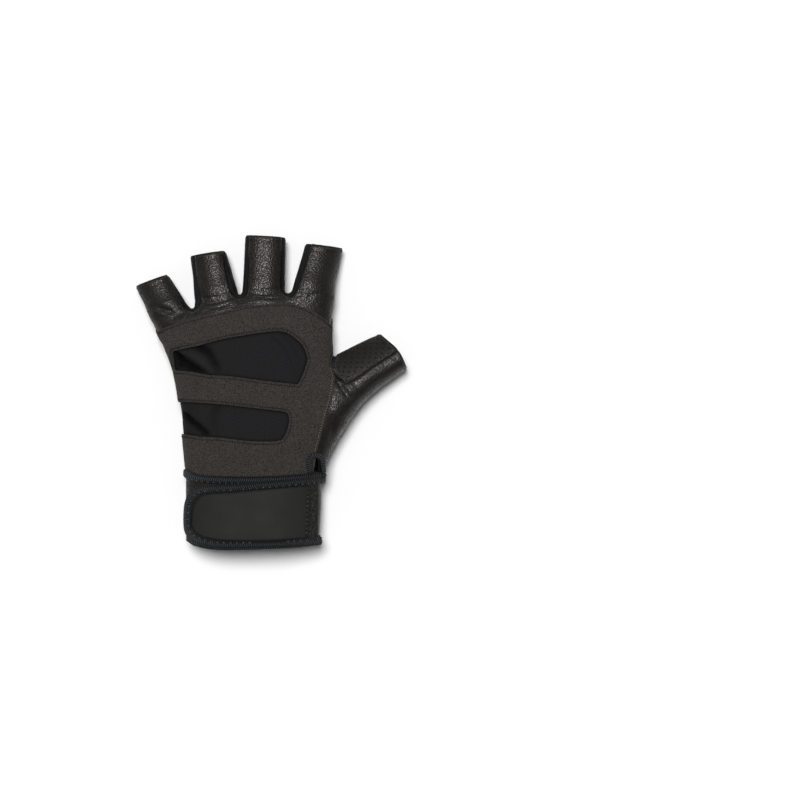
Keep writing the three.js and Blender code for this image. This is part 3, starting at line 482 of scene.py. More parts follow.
# fine creases of leather across the finger roots
knuckle = np.exp(-(((P0[:, 1] - (53.5 + 0.06 * P0[:, 0])) / 5.5) ** 2)) * is_back
h += knuckle * 0.2 * noise2(P0[:, 0] * 0.35, P0[:, 1] - 0.12 * P0[:, 0], 1.5, 3)
rest = np.clip((P0[:, 2] - 1.0) / 3.0, 0, 1)
P0 = P0 + N0 * (h * np.where(is_back, 1, rest))[:, None]
P0[:, 2] = np.maximum(P0[:, 2], 0.02)
log("folds")


# ------------------------------------------------------------------ patches
class Patch:
    """Triangles with per-vertex columns: position (3) and normal (3), in mm."""

    def __init__(self, A, T):
        self.A, self.T = A, T

    @property
    def P(self):
        return self.A[:, :3]

    @property
    def N(self):
        return self.A[:, 3:6]

    @property
    def fold(self):
        return self.A[:, 6]

    def tidy(self):
        used = np.unique(self.T)
        m = np.full(len(self.A), -1)
        m[used] = np.arange(len(used))
        self.A, self.T = self.A[used], m[self.T]
        return self

    def cut(self, fn, snap=0.3):
        """Keeps the side where fn(P) > 0. Vertices close to the line are moved onto it."""
        A, T = self.A.copy(), self.T
        f = fn(A[:, :3])
        near = np.abs(f) < snap
        if near.any():
            P, N = A[near, :3], A[near, 3:6]
            e = 0.05
            base = fn(P)
            gx = (fn(P + [e, 0, 0]) - base) / e
            gy = (fn(P + [0, e, 0]) - base) / e
            gz = (fn(P + [0, 0, e]) - base) / e
            g3 = np.stack([gx, gy, gz], 1)
            gt = g3 - N * (g3 * N).sum(1)[:, None]
            g2 = (gt * gt).sum(1)
            step = -base[:, None] * gt / np.maximum(g2, 1e-6)[:, None]
            L = np.linalg.norm(step, axis=1)
            ok = (g2 > 0.02) & (L < 0.55)
            idx = np.where(near)[0][ok]
            A[idx, :3] += step[ok]
            f[idx] = 0.0
        s = f > 0
        on = f == 0
        # a triangle is kept if it has an inside corner and no outside one
        inn, out = s[T], (~s & ~on)[T]
        keep = inn.any(1) & ~out.any(1)
        mixed = inn.any(1) & out.any(1)
        M = T[mixed]
        new_T = [T[keep]]
        if len(M):
            sv = np.where(on, 0, np.where(s, 1, -1))[M]
            cols = []
            edges = {}
            ek, verts = [], []
            pairs = np.sort(np.stack([M, np.roll(M, -1, axis=1)], 2), axis=2).reshape(-1, 2)
            crossing = (sv * np.roll(sv, -1, axis=1)).reshape(-1) < 0
            key = pairs[:, 0].astype(np.int64) * len(A) + pairs[:, 1]
            uk, inv = np.unique(key[crossing], return_inverse=True)
            a, b = (uk // len(A)).astype(int), (uk % len(A)).astype(int)
            t = (f[a] / (f[a] - f[b]))[:, None]
            NA = A[a] * (1 - t) + A[b] * t
            nid = np.full(len(key), -1)
            nid[crossing] = len(A) + inv
            nid = nid.reshape(-1, 3)
            A = np.vstack([A, NA])
            polys = []
            for tri, sg, nn in zip(M.tolist(), sv.tolist(), nid.tolist()):
                poly = []
                for k in range(3):
                    if sg[k] >= 0:
                        poly.append(tri[k])
                    if nn[k] >= 0:
                        poly.append(nn[k])
                for k in range(1, len(poly) - 1):
                    polys.append((poly[0], poly[k], poly[k + 1]))
            if polys:
                new_T.append(np.array(polys))
        p = Patch(A, np.vstack(new_T))
        q = tri_normals(p.P, p.T)
        p.T = p.T[(q * q).sum(1) > 1e-12]
        return p.tidy()

    def biggest(self, least=0.0, keep=1):
        """Drops loose scraps: keeps the largest pieces."""
        n = len(self.A)
        lab = np.arange(n)
        E = np.vstack([self.T[:, :2], self.T[:, 1:]])
        for _ in range(200):
            m = np.minimum(lab[E[:, 0]], lab[E[:, 1]])
            new = lab.copy()
            np.minimum.at(new, E[:, 0], m)
            np.minimum.at(new, E[:, 1], m)
            new = new[new]
            new = new[new]
            if (new == lab).all():
                break
            lab = new
        ar = 0.5 * np.linalg.norm(tri_normals(self.P, self.T), axis=1)
        L = lab[self.T[:, 0]]
        ids, inv = np.unique(L, return_inverse=True)
        tot = np.bincount(inv, ar)
        good = ids[np.argsort(-tot)[:keep]]
        good = [i for i in good if tot[np.where(ids == i)[0][0]] > least]
        self.T = self.T[np.isin(L, good)]
        return self.tidy()

    def boundary(self):
        T = self.T
        e = np.vstack([T[:, [0, 1]], T[:, [1, 2]], T[:, [2, 0]]]).astype(np.int64)
        k = np.sort(e, axis=1)
        key = k[:, 0] * (len(self.A) + 1) + k[:, 1]
        u, inv, cnt = np.unique(key, return_inverse=True, return_counts=True)
        return e[cnt[inv] == 1]

    def edge_distance(self, test=None, limit=9.0):
        """Straight distance from each vertex to the nearest border point for which test(P) is true."""
        B = self.boundary()
        a, b = self.P[B[:, 0]], self.P[B[:, 1]]
        S = np.vstack([a * (1 - t) + b * t for t in (0.0, 0.25, 0.5, 0.75)])
        if test is not None:
            S = S[test(S)]
        d = np.full(len(self.A), limit)
        if not len(S):
            return d
        kd = KDTree(len(S))
        for i, q in enumerate(S.tolist()):
            kd.insert(q, i)
        kd.balance()
        lo, hi = S.min(0) - limit, S.max(0) + limit
        near = np.where(((self.P > lo) & (self.P < hi)).all(1))[0]
        find = kd.find
        d[near] = [find(q)[2] for q in self.P[near].tolist()]
        return np.minimum(d, limit)


BASE = Patch(np.hstack([P0, N0, fold_h[:, None]]), T0_)


def fresh_normals(p):
    q = tri_normals(p.P, p.T)
    N = np.zeros_like(p.P)
    for k in range(3):
        for c in range(3):
            N[:, c] += np.bincount(p.T[:, k], q[:, c], len(N))
    N /= np.maximum(np.linalg.norm(N, axis=1), 1e-12)[:, None]
    return N


BASE.A[:, 3:6] = 0.5 * N0 + 0.5 * fresh_normals(BASE)
BASE.A[:, 3:6] /= np.linalg.norm(BASE.A[:, 3:6], axis=1)[:, None]


def shell(p, out, inn, r_out=0.35, r_in=0.2, roll=3):
    """A closed solid from a patch: outer and inner sides at the given heights, joined round the border by a rolled edge."""
    P, N, T = p.P, p.N, p.T
    n = len(P)
    out = np.broadcast_to(out, (n,)).astype(float)
    inn = np.broadcast_to(inn, (n,)).astype(float)
    V = [P + N * out[:, None], P + N * inn[:, None]]
    faces = [T, T[:, ::-1] + n]
    B = p.boundary()
    bv = np.unique(B)
    loc = np.full(n, -1)
    loc[bv] = np.arange(len(bv))
    dirn = P[B[:, 1]] - P[B[:, 0]]
    side = np.cross(dirn, 0.5 * (N[B[:, 0]] + N[B[:, 1]]))
    side /= np.maximum(np.linalg.norm(side, axis=1), 1e-9)[:, None]
    tang = np.zeros((len(bv), 3))
    for k in range(2):
        for c in range(3):
            tang[:, c] += np.bincount(loc[B[:, k]], side[:, c], len(bv))
    nb = N[bv]
    tang -= nb * (tang * nb).sum(1)[:, None]
    tang /= np.maximum(np.linalg.norm(tang, axis=1), 1e-9)[:, None]
    pb, ho, hi = P[bv], out[bv], inn[bv]
    prof = []
    half = (ho - hi) / 2
    ro = np.minimum(r_out, half)
    ri = np.minimum(r_in, half)
    for j in range(1, roll + 1):
        a = math.pi / 2 * j / roll
        prof.append((r_out * math.sin(a) + 0 * ho, ho - ro + ro * math.cos(a)))
    for j in range(0, 3):
        a = math.pi / 2 * j / 2
        if j == 0:
            prof.append((r_out + 0 * ho, hi + ri))
        else:
            prof.append((r_out - r_in + r_in * math.cos(a) + 0 * ho, hi + ri - ri * math.sin(a)))
    rows = [bv]
    count = 2 * n
    for t, hgt in prof:
        V.append(pb + tang * t[:, None] + nb * hgt[:, None])
        rows.append(count + np.arange(len(bv)))
        count += len(bv)
    rows.append(bv + n)
    la, lb = loc[B[:, 0]], loc[B[:, 1]]
    for r0, r1 in zip(rows[:-1], rows[1:]):
        a0, b0, a1, b1 = r0[la], r0[lb], r1[la], r1[lb]
        faces.append(np.stack([b0, a0, a1], 1))
        faces.append(np.stack([b0, a1, b1], 1))
    V = np.vstack(V)
    return V, np.vstack(faces)


# ------------------------------------------------------------------ objects
PIECES = {}


def add_mesh(name, V, F, material, slot, uv=None, smooth_shade=True, shade=None):
    V = np.asarray(V, float) * 0.001
    F = np.asarray(F, np.int32)
    me = bpy.data.meshes.new(name)
    k = F.shape[1]
    me.vertices.add(len(V))
    me.vertices.foreach_set("co", V.astype(np.float32).ravel())
    me.loops.add(F.size)
    me.loops.foreach_set("vertex_index", F.ravel())
    me.polygons.add(len(F))
    me.polygons.foreach_set("loop_start", np.arange(0, F.size, k, dtype=np.int32))
    me.polygons.foreach_set("loop_total", np.full(len(F), k, np.int32))
    me.polygons.foreach_set("use_smooth", np.full(len(F), smooth_shade))
    if uv is not None:
        layer = me.uv_layers.new(name="UVMap")
        layer.data.foreach_set("uv", np.asarray(uv, np.float32)[F.ravel()].ravel())
    if shade is not None:
        me.attributes.new("shade", "FLOAT", "POINT").data.foreach_set("value", np.asarray(shade, np.float32))
    me.update()
    me.validate()
    ob = bpy.data.objects.new(name, me)
    bpy.context.scene.collection.objects.link(ob)
    me.materials.append(material)
    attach(ob, "root")
    PIECES[name] = ob
    return ob


# ------------------------------------------------------------------ stitches along a level line
def level_lines(p, f, level, least=6.0):
    """Chains of points on the patch where f is level."""
    T = p.T
    g = f - level
    g = np.where(np.abs(g) < 1e-7, 1e-7, g)
    s = g > 0
    mixed = s[T].any(1) & ~s[T].all(1)
    M = T[mixed]
    if not len(M):
        return []
    segs = []
    n = len(p.A)
    nodes = {}
    pts, nrm = [], []

    def node(a, b):
        key = (a, b) if a < b else (b, a)
        i = nodes.get(key)
        if i is None:
            t = g[a] / (g[a] - g[b])
            i = nodes[key] = len(pts)
            pts.append(p.A[a, :3] * (1 - t) + p.A[b, :3] * t)
            nrm.append(p.A[a, 3:6] * (1 - t) + p.A[b, 3:6] * t)
        return i

    link = {}
    for a, b, c in M.tolist():
        e = [node(u, v) for u, v in ((a, b), (b, c), (c, a)) if s[u] != s[v]]
        if len(e) == 2:
            link.setdefault(e[0], []).append(e[1])
            link.setdefault(e[1], []).append(e[0])
    seen = set()
    chains = []
    starts = [k for k, v in link.items() if len(v) == 1] + list(link)
    for st in starts:
        if st in seen:
            continue
        chain = [st]
        seen.add(st)
        cur = st
        while True:
            nxt = [q for q in link[cur] if q not in seen]
            if not nxt:
                break
            cur = nxt[0]
            seen.add(cur)
            chain.append(cur)
        if len(chain) > 2 and chain[0] in link[chain[-1]]:
            chain.append(chain[0])
        q = np.array([pts[i] for i in chain])
        m = np.array([nrm[i] for i in chain])
        if np.linalg.norm(np.diff(q, axis=0), axis=1).sum() >= least:
            for _ in range(4):
                q[1:-1] = 0.5 * q[1:-1] + 0.25 * (q[:-2] + q[2:])
            chains.append((q, m / np.linalg.norm(m, axis=1)[:, None]))
    return chains


def resample_from(q, start, along=None, cut=0.0):
    """Drops the first part of a line, of the given length; or the same part of a column that goes along with a line."""
    ref = q if along is None else along
    d = np.r_[0, np.cumsum(np.linalg.norm(np.diff(ref, axis=0), axis=1))]
    s = np.linspace(start if along is None else cut, d[-1], len(ref))
    return np.stack([np.interp(s, d, q[:, k]) for k in range(3)], 1)


def stitch_mesh(chains, pitch, length, radius, lift, keep=None, sink=0.0, jitter=0.06, seed=1):
    """Short threads that rise out of the surface and go back in, one for each pitch along the chains."""
    r = np.random.default_rng(seed)
    Vs, Fs, count = [], [], 0
    sides, rings = 6, 5
    for q, m in chains:
        d = np.r_[0, np.cumsum(np.linalg.norm(np.diff(q, axis=0), axis=1))]
        L = d[-1]
        k = int(L / pitch)
        if k < 1:
            continue
        off = (L - k * pitch) / 2
        for i in range(k):
            s0 = off + i * pitch + r.normal(0, jitter)
            ss = np.linspace(s0, s0 + length, rings)
            if ss[0] < 0 or ss[-1] > L:
                continue
            c = np.stack([np.interp(ss, d, q[:, j]) for j in range(3)], 1)
            nn = np.stack([np.interp(ss, d, m[:, j]) for j in range(3)], 1)
            nn /= np.linalg.norm(nn, axis=1)[:, None]
            mid = c[rings // 2]
            if keep is not None and not keep(mid[None])[0]:
                continue
            t = np.gradient(c, axis=0)
            t /= np.maximum(np.linalg.norm(t, axis=1), 1e-9)[:, None]
            b = np.cross(t, nn)
            w = np.linspace(-1, 1, rings)
            h = lift * (1 - w**2) - sink - 0.35 * radius * (np.abs(w) > 0.9)
            rad = radius * np.sqrt(np.clip(1.06 - w**2, 0.06, 1))
            a = 2 * np.pi * np.arange(sides) / sides
            ringpts = c[:, None] + nn[:, None] * (h[:, None, None] + rad[:, None, None] * np.sin(a)[None, :, None]) + b[:, None] * (rad[:, None, None] * np.cos(a)[None, :, None])
            Vs.append(ringpts.reshape(-1, 3))
            for u in range(rings - 1):
                x = count + u * sides + np.arange(sides)
                y = count + u * sides + (np.arange(sides) + 1) % sides
                Fs.append(np.stack([x, y, y + sides, x + sides], 1))
            e0 = count + np.arange(sides)
            e1 = count + (rings - 1) * sides + np.arange(sides)
            Fs.append(np.array([[e0[0], e0[5], e0[4], e0[3]], [e0[0], e0[3], e0[2], e0[1]], [e1[0], e1[1], e1[2], e1[3]], [e1[0], e1[3], e1[4], e1[5]]]))
            count += rings * sides
    if not Vs:
        return None
    return np.vstack(Vs), np.vstack(Fs)


# ------------------------------------------------------------------ materials
def new_material(name):
    m = bpy.data.materials.new(name)
    m.use_nodes = True
    nt = m.node_tree
    nt.nodes.clear()
    out = nt.nodes.new("ShaderNodeOutputMaterial")
    bs = nt.nodes.new("ShaderNodeBsdfPrincipled")
    nt.links.new(bs.outputs[0], out.inputs[0])
    return m, nt, bs


class Nodes:
    def __init__(self, nt):
        self.nt = nt

    def add(self, kind, **props):
        n = self.nt.nodes.new(kind)
        for k, v in props.items():
            setattr(n, k, v)
        return n

    def link(self, a, b):
        self.nt.links.new(a, b)

    def coords(self, uv=False, scale=(1, 1, 1), rot=(0, 0, 0)):
        tc = self.add("ShaderNodeTexCoord")
        mp = self.add("ShaderNodeMapping")
        mp.inputs["Scale"].default_value = scale
        mp.inputs["Rotation"].default_value = rot
        self.link(tc.outputs["UV" if uv else "Object"], mp.inputs["Vector"])
        return mp.outputs[0]

    def noise(self, vec, scale, detail=2.0, rough=0.5):
        n = self.add("ShaderNodeTexNoise")
        n.inputs["Scale"].default_value = scale
        n.inputs["Detail"].default_value = detail
        n.inputs["Roughness"].default_value = rough
        self.link(vec, n.inputs["Vector"])
        return n.outputs["Fac"]

    def voronoi(self, vec, scale, feature="F1", smooth=None, rand=1.0):
        n = self.add("ShaderNodeTexVoronoi", feature=feature)
        n.inputs["Scale"].default_value = scale
        n.inputs["Randomness"].default_value = rand
        if smooth is not None and "Smoothness" in n.inputs:
            n.inputs["Smoothness"].default_value = smooth
        self.link(vec, n.inputs["Vector"])
        return n.outputs["Distance"]

    def math(self, op, a, b=None, c=None, clamp=False):
        n = self.add("ShaderNodeMath", operation=op, use_clamp=clamp)
        for i, v in enumerate((a, b, c)):
            if v is None:
                continue
            if isinstance(v, (int, float)):
                n.inputs[i].default_value = v
            else:
                self.link(v, n.inputs[i])
        return n.outputs[0]

    def ramp(self, fac, stops):
        n = self.add("ShaderNodeValToRGB")
        el = n.color_ramp.elements
        while len(el) < len(stops):
            el.new(0.5)
        for e, (p, c) in zip(el, stops):
            e.position = p
            e.color = (*c, 1) if len(c) == 3 else c
        self.link(fac, n.inputs[0])
        return n.outputs[0]

    def grey(self, fac, lo, hi, p0=0.0, p1=1.0):
        n = self.add("ShaderNodeMapRange")
        n.clamp = True
        n.inputs["From Min"].default_value = p0
        n.inputs["From Max"].default_value = p1
        n.inputs["To Min"].default_value = lo
        n.inputs["To Max"].default_value = hi
        self.link(fac, n.inputs["Value"])
        return n.outputs[0]

    def mix(self, fac, a, b):
        n = self.add("ShaderNodeMix", data_type="RGBA")
        for v, s in ((fac, n.inputs[0]), (a, n.inputs[6]), (b, n.inputs[7])):
            if isinstance(v, (int, float)):
                s.default_value = v
            elif isinstance(v, tuple):
                s.default_value = (*v, 1)
            else:
                self.link(v, s)
        return n.outputs[2]

    def sepxyz(self, vec):
        n = self.add("ShaderNodeSeparateXYZ")
        self.link(vec, n.inputs[0])
        return n.outputs

    def bump(self, height, dist, strength=1.0, normal=None):
        n = self.add("ShaderNodeBump")
        n.inputs["Strength"].default_value = strength
        n.inputs["Distance"].default_value = dist
        self.link(height, n.inputs["Height"])
        if normal is not None:
            self.link(normal, n.inputs["Normal"])
        return n.outputs[0]


def shaded(N, bs, col):
    """Multiplies the colour by the mesh's shade."""
    at = N.add("ShaderNodeAttribute")
    at.attribute_name = "shade"
    comb = N.add("ShaderNodeCombineColor")
    for i in range(3):
        N.link(at.outputs["Fac"], comb.inputs[i])
    mul = N.add("ShaderNodeMix", data_type="RGBA", blend_type="MULTIPLY")
    mul.inputs[0].default_value = 1.0
    N.link(col, mul.inputs[6])
    N.link(comb.outputs[0], mul.inputs[7])
    N.link(mul.outputs[2], bs.inputs["Base Color"])


def set_in(bs, **kw):
    for k, v in kw.items():
        bs.inputs[k.replace("_", " ")].default_value = v


def leather_material(name, dark, light, rough, grain, grain_h, holes=False, worn=0.0, spec=0.5):
    m, nt, bs = new_material(name)
    N = Nodes(nt)
    vec = N.coords()
    big = N.noise(vec, 70.0, 3.0)
    cells = N.voronoi(vec, grain, "SMOOTH_F1", 0.35)
    fine = N.noise(vec, grain * 2.2, 4.0, 0.6)
    wrinkle = N.noise(vec, grain * 0.35, 3.0, 0.6)
    pebble = N.math("SUBTRACT", 1.0, N.grey(cells, 0.0, 1.0, 0.12, 0.75))
    col = N.mix(N.grey(big, 0.0, 1.0, 0.32, 0.68), dark, light)
    # painted shade: the valleys of the grain are darkened in the colour, where shade would fall
    shade = N.grey(pebble, 0.62, 1.05, 0.0, 1.0)
    mul = N.add("ShaderNodeMix", data_type="RGBA", blend_type="MULTIPLY")
    mul.inputs[0].default_value = 1.0
    N.link(col, mul.inputs[6])
    comb = N.add("ShaderNodeCombineColor")
    for i in range(3):
        N.link(shade, comb.inputs[i])
    N.link(comb.outputs[0], mul.inputs[7])
    col = mul.outputs[2]
    rgh = N.math("ADD", N.grey(fine, rough - 0.07, rough + 0.1, 0.3, 0.7), N.grey(pebble, 0.3, 0.0, 0.15, 0.5))
    h = N.math("ADD", N.math("MULTIPLY", pebble, 1.0), N.math("MULTIPLY", fine, 0.35))
    h = N.math("ADD", h, N.math("MULTIPLY", wrinkle, 0.25))
    if holes:
        # round holes in staggered rows, laid out on the flat pattern; the holes are real, and their near-black colour
        # is painted shade for the hollow of each hole
        uv = N.coords(True)
        s = N.sepxyz(uv)
        px, py = 3.1, 2.7
        row = N.math("FLOOR", N.math("DIVIDE", s[1], py))
        odd = N.math("MULTIPLY", N.math("FRACT", N.math("MULTIPLY", row, 0.5)), 1.0)
        u = N.math("SUBTRACT", N.math("FRACT", N.math("ADD", N.math("DIVIDE", s[0], px), odd)), 0.5)
        v = N.math("SUBTRACT", N.math("FRACT", N.math("DIVIDE", s[1], py)), 0.5)
        du = N.math("MULTIPLY", u, px)
        dv = N.math("MULTIPLY", v, py)
        d = N.math("SQRT", N.math("ADD", N.math("MULTIPLY", du, du), N.math("MULTIPLY", dv, dv)))
        hole = N.grey(d, 1.0, 0.0, 0.34, 0.48)
        rim = N.math("MULTIPLY", N.grey(d, 1.0, 0.0, 0.4, 0.95), 0.6)
        col = N.mix(hole, col, (0.0008, 0.0008, 0.0008))
        rgh = N.math("ADD", rgh, N.math("MULTIPLY", hole, 0.5), clamp=True)
        h = N.math("SUBTRACT", h, N.math("MULTIPLY", rim, 1.2))
        h = N.math("SUBTRACT", h, N.math("MULTIPLY", hole, 4.0))
    shaded(N, bs, col)
    N.link(rgh, bs.inputs["Roughness"])
    N.link(N.bump(h, grain_h, 0.9), bs.inputs["Normal"])
    set_in(bs, Specular_IOR_Level=spec)
    bs.inputs["Specular Tint"].default_value = (1.0, 0.95, 0.9, 1)
    return m


def suede_material():
    m, nt, bs = new_material("suede")
    N = Nodes(nt)
    vec = N.coords()
    patch = N.noise(vec, 90.0, 4.0, 0.6)
    mott = N.noise(vec, 1900.0, 2.0, 0.5)
    fibre = N.noise(vec, 3200.0, 2.0, 0.6)
    c = N.mix(N.grey(mott, 0, 1, 0.38, 0.62), (0.0070, 0.0064, 0.0058), (0.0545, 0.0492, 0.0445))
    c = N.mix(N.math("MULTIPLY", N.grey(patch, 0, 1, 0.35, 0.7), 0.3), c, (0.0180, 0.0160, 0.0140))
    c = N.mix(N.math("MULTIPLY", N.grey(fibre, 0, 1, 0.4, 0.75), 0.35), c, (0.074, 0.066, 0.057))
    shaded(N, bs, c)
    N.link(N.grey(mott, 0.82, 1.0, 0.3, 0.7), bs.inputs["Roughness"])
    h = N.math("ADD", N.math("MULTIPLY", fibre, 0.6), N.math("MULTIPLY", mott, 1.0))
    N.link(N.bump(h, 0.00022, 0.8), bs.inputs["Normal"])
    set_in(bs, Specular_IOR_Level=0.12, Sheen_Weight=0.06, Sheen_Roughness=0.5)
    bs.inputs["Sheen Tint"].default_value = (0.62, 0.55, 0.47, 1)
    return m


def stretch_material():
    """Near-black stretch cloth with fine slanting ribs."""
    m, nt, bs = new_material("stretch_fabric")
    N = Nodes(nt)
    uv = N.coords(True, rot=(0, 0, math.radians(-52)))
    s = N.sepxyz(uv)
    obj = N.coords()
    wob = N.math("MULTIPLY", N.noise(obj, 180.0, 2.0), 0.5)
    ph = N.math("MULTIPLY", N.math("ADD", s[1], wob), 2 * math.pi / 1.25)
    rib = N.math("MULTIPLY", N.math("ADD", N.math("SINE", ph), 1.0), 0.5)
    across = N.math("MULTIPLY", N.math("ADD", N.math("SINE", N.math("MULTIPLY", s[0], 2 * math.pi / 0.8)), 1.0), 0.5)
    yarn = N.noise(obj, 1500.0, 3.0, 0.6)
    # painted shade: the colour is darker in the troughs of the ribs, following the same sine as the bump
    lightness = N.math("ADD", N.math("MULTIPLY", rib, 0.4), N.math("MULTIPLY", yarn, 0.6))
    c = N.mix(N.grey(lightness, 0, 1, 0.25, 0.75), (0.0060, 0.0059, 0.0065), (0.0178, 0.0172, 0.0186))
    shaded(N, bs, c)
    h = N.math("ADD", rib, N.math("MULTIPLY", across, 0.25))
    h = N.math("ADD", h, N.math("MULTIPLY", yarn, 0.5))
    N.link(N.bump(h, 0.00011, 0.8), bs.inputs["Normal"])
    set_in(bs, Roughness=0.85, Specular_IOR_Level=0.1, Sheen_Weight=0.01, Sheen_Roughness=0.4)
    return m


def gusset_material():
    m, nt, bs = new_material("gusset_fabric")
    N = Nodes(nt)
    obj = N.coords()
    knit = N.voronoi(obj, 1500.0, "F1")
    var = N.noise(obj, 160.0, 3.0)
    c = N.mix(N.grey(var, 0, 1, 0.3, 0.7), (0.0022, 0.0026, 0.0036), (0.0060, 0.0068, 0.0090))
    shaded(N, bs, c)
    N.link(N.bump(N.math("ADD", knit, N.math("MULTIPLY", var, 0.6)), 0.00012, 0.7), bs.inputs["Normal"])
    set_in(bs, Roughness=0.75, Specular_IOR_Level=0.2, Sheen_Weight=0.02, Sheen_Roughness=0.4)
    return m


def tape_material():
    """Ribbed edge tape: U runs along the tape in mm, V across."""
    m, nt, bs = new_material("ribbed_tape")
    N = Nodes(nt)
    uv = N.coords(True)
    s = N.sepxyz(uv)
    obj = N.coords()
    wob = N.math("MULTIPLY", N.noise(obj, 260.0, 2.0), 0.35)
    ph = N.math("MULTIPLY", N.math("ADD", N.math("ADD", s[0], N.math("MULTIPLY", s[1], 0.35)), wob), 2 * math.pi / 1.25)
    rib = N.math("MULTIPLY", N.math("ADD", N.math("SINE", ph), 1.0), 0.5)
    yarn = N.noise(obj, 1400.0, 3.0, 0.6)
    # painted shade: the colour is near-black in the troughs of the ribs, following the same sine as the bump
    l = N.math("ADD", N.math("MULTIPLY", rib, 0.7), N.math("MULTIPLY", yarn, 0.3))
    c = N.mix(N.grey(l, 0, 1, 0.3, 0.75), (0.0006, 0.0007, 0.0010), (0.0380, 0.0415, 0.0480))
    shaded(N, bs, c)
    N.link(N.bump(N.math("ADD", rib, N.math("MULTIPLY", yarn, 0.3)), 0.0006, 1.0), bs.inputs["Normal"])
    set_in(bs, Roughness=0.72, Specular_IOR_Level=0.25, Sheen_Weight=0.02, Sheen_Roughness=0.4)
    return m


def plate_material():
    m, nt, bs = new_material("strap_plate")
    N = Nodes(nt)
    obj = N.coords()
    mic = N.noise(obj, 1600.0, 3.0, 0.6)
    var = N.noise(obj, 60.0, 3.0)
    scuff = N.noise(N.coords(scale=(1, 6, 1)), 300.0, 4.0, 0.7)
    c = N.mix(N.grey(var, 0, 1, 0.3, 0.7), (0.0140, 0.0137, 0.0133), (0.0184, 0.0180, 0.0175))
    c = N.mix(N.math("MULTIPLY", N.grey(scuff, 0, 1, 0.55, 0.8), 0.25), c, (0.032, 0.031, 0.030))
    shaded(N, bs, c)
    N.link(N.grey(mic, 0.56, 0.70, 0.3, 0.7), bs.inputs["Roughness"])
    N.link(N.bump(mic, 0.00005, 0.5), bs.inputs["Normal"])
    set_in(bs, Specular_IOR_Level=0.12)
    return m


def loop_material():
    """Rough looped cloth of the strap's end strip."""
    m, nt, bs = new_material("strap_fabric")
    N = Nodes(nt)
    obj = N.coords()
    loops = N.voronoi(obj, 1300.0, "F1")
    flecks = N.noise(obj, 1000.0, 3.0, 0.7)
    c = N.mix(N.grey(flecks, 0, 1, 0.48, 0.7), (0.0060, 0.0058, 0.0055), (0.050, 0.047, 0.043))
    shaded(N, bs, c)
    N.link(N.bump(N.math("ADD", loops, flecks), 0.0003, 0.9), bs.inputs["Normal"])
    set_in(bs, Roughness=0.8, Specular_IOR_Level=0.2, Sheen_Weight=0.03)
    return m


def thread_material(name, a, b, spec=0.4):
    m, nt, bs = new_material(name)
    N = Nodes(nt)
    obj = N.coords()
    t = N.noise(obj, 2400.0, 2.0)
    N.link(N.mix(N.grey(t, 0, 1, 0.35, 0.65), a, b), bs.inputs["Base Color"])
    N.link(N.bump(t, 0.00008, 0.6), bs.inputs["Normal"])
    set_in(bs, Roughness=0.6, Specular_IOR_Level=spec, Sheen_Weight=spec * 0.25)
    return m


M_SMOOTH = leather_material("smooth_leather", (0.0034, 0.0031, 0.0029), (0.0068, 0.0063, 0.0058), 0.31, 950.0, 0.00013, spec=0.38)
M_PERF = leather_material("perforated_leather", (0.0040, 0.0037, 0.0034), (0.0080, 0.0074, 0.0068), 0.42, 1400.0, 0.00011, holes=True, spec=0.32)
M_CUFF = leather_material("cuff_leather", (0.0036, 0.0034, 0.0031), (0.0072, 0.0067, 0.0062), 0.38, 1150.0, 0.00013, spec=0.3)
M_SUEDE = suede_material()
M_STRETCH = stretch_material()
M_GUSSET = gusset_material()
M_TAPE = tape_material()
M_PLATE = plate_material()
M_LOOP = loop_material()
M_BROWN = thread_material("thread_brown", (0.030, 0.020, 0.014), (0.075, 0.052, 0.036))
M_SEAM = thread_material("thread_seam", (0.0030, 0.0022, 0.0017), (0.0090, 0.0065, 0.0048), 0.12)
M_TAN = thread_material("thread_tan", (0.10, 0.075, 0.052), (0.20, 0.155, 0.115))
M_GREY = thread_material("thread_grey", (0.060, 0.064, 0.072), (0.150, 0.155, 0.165))
M_DARK = thread_material("thread_dark", (0.014, 0.013, 0.012), (0.040, 0.038, 0.036))
M_BLACK = thread_material("thread_black", (0.006, 0.006, 0.006), (0.016, 0.015, 0.014))


# ------------------------------------------------------------------ pattern lines
wrist = smooth(seen(WRIST_LINE, 31.0), 48)
hem = smooth(CUFF_HEM, 48)
top_line = smooth(seen(OVERLAY_TOP, 25.0), 60)
side_line = smooth(seen(OVERLAY_SIDE, 26.0), 36)
arc_line = smooth(THUMB_ARC, 48)
wrap_line = smooth(THUMB_WRAP, 36)


def above_line(line, P):
    """How far P lies on the +Y side of a line that runs across the glove."""
    y = np.interp(P[:, 0], line[:, 0], line[:, 1])
    d, _, _ = seg_dist(P, line)
    return np.where(P[:, 1] > y, d, -d)


f_wrist = lambda P: above_line(wrist, P)
f_hem = lambda P: above_line(hem, P)


def hem_fn(points):
    """Positive on the hand's side of a finger's hem."""
    pts = np.asarray(points, float)
    a, b = pts[0], pts[-1]
    n = np.array([-(b - a)[1], (b - a)[0]])
    if n @ (a + [0, 20]) < 0:
        n = -n
    n /= np.linalg.norm(n)
    t = (b - a) / np.linalg.norm(b - a)
    line = np.vstack([pts[0] - t * 8, pts, pts[-1] + t * 8])

    def fn(P):
        q = P[:, :2]
        s = (q - a) @ t
        hgt = np.interp(s, (line - a) @ t, (line - a) @ n)
        off = (q - a) @ n - hgt
        near = (s > -7) & (s < np.linalg.norm(b - a) + 7) & (off > -25)
        return np.where(near, -off, 30.0)

    return fn


hem_fns = {f: hem_fn([FINGERS[f][10:12], FINGERS[f][12:14]]) for f in FINGERS}
hem_fns["thumb"] = hem_fn(smooth(THUMB_HEM, 12))


def f_tips(P):
    return np.minimum.reduce([fn(P) for fn in hem_fns.values()])


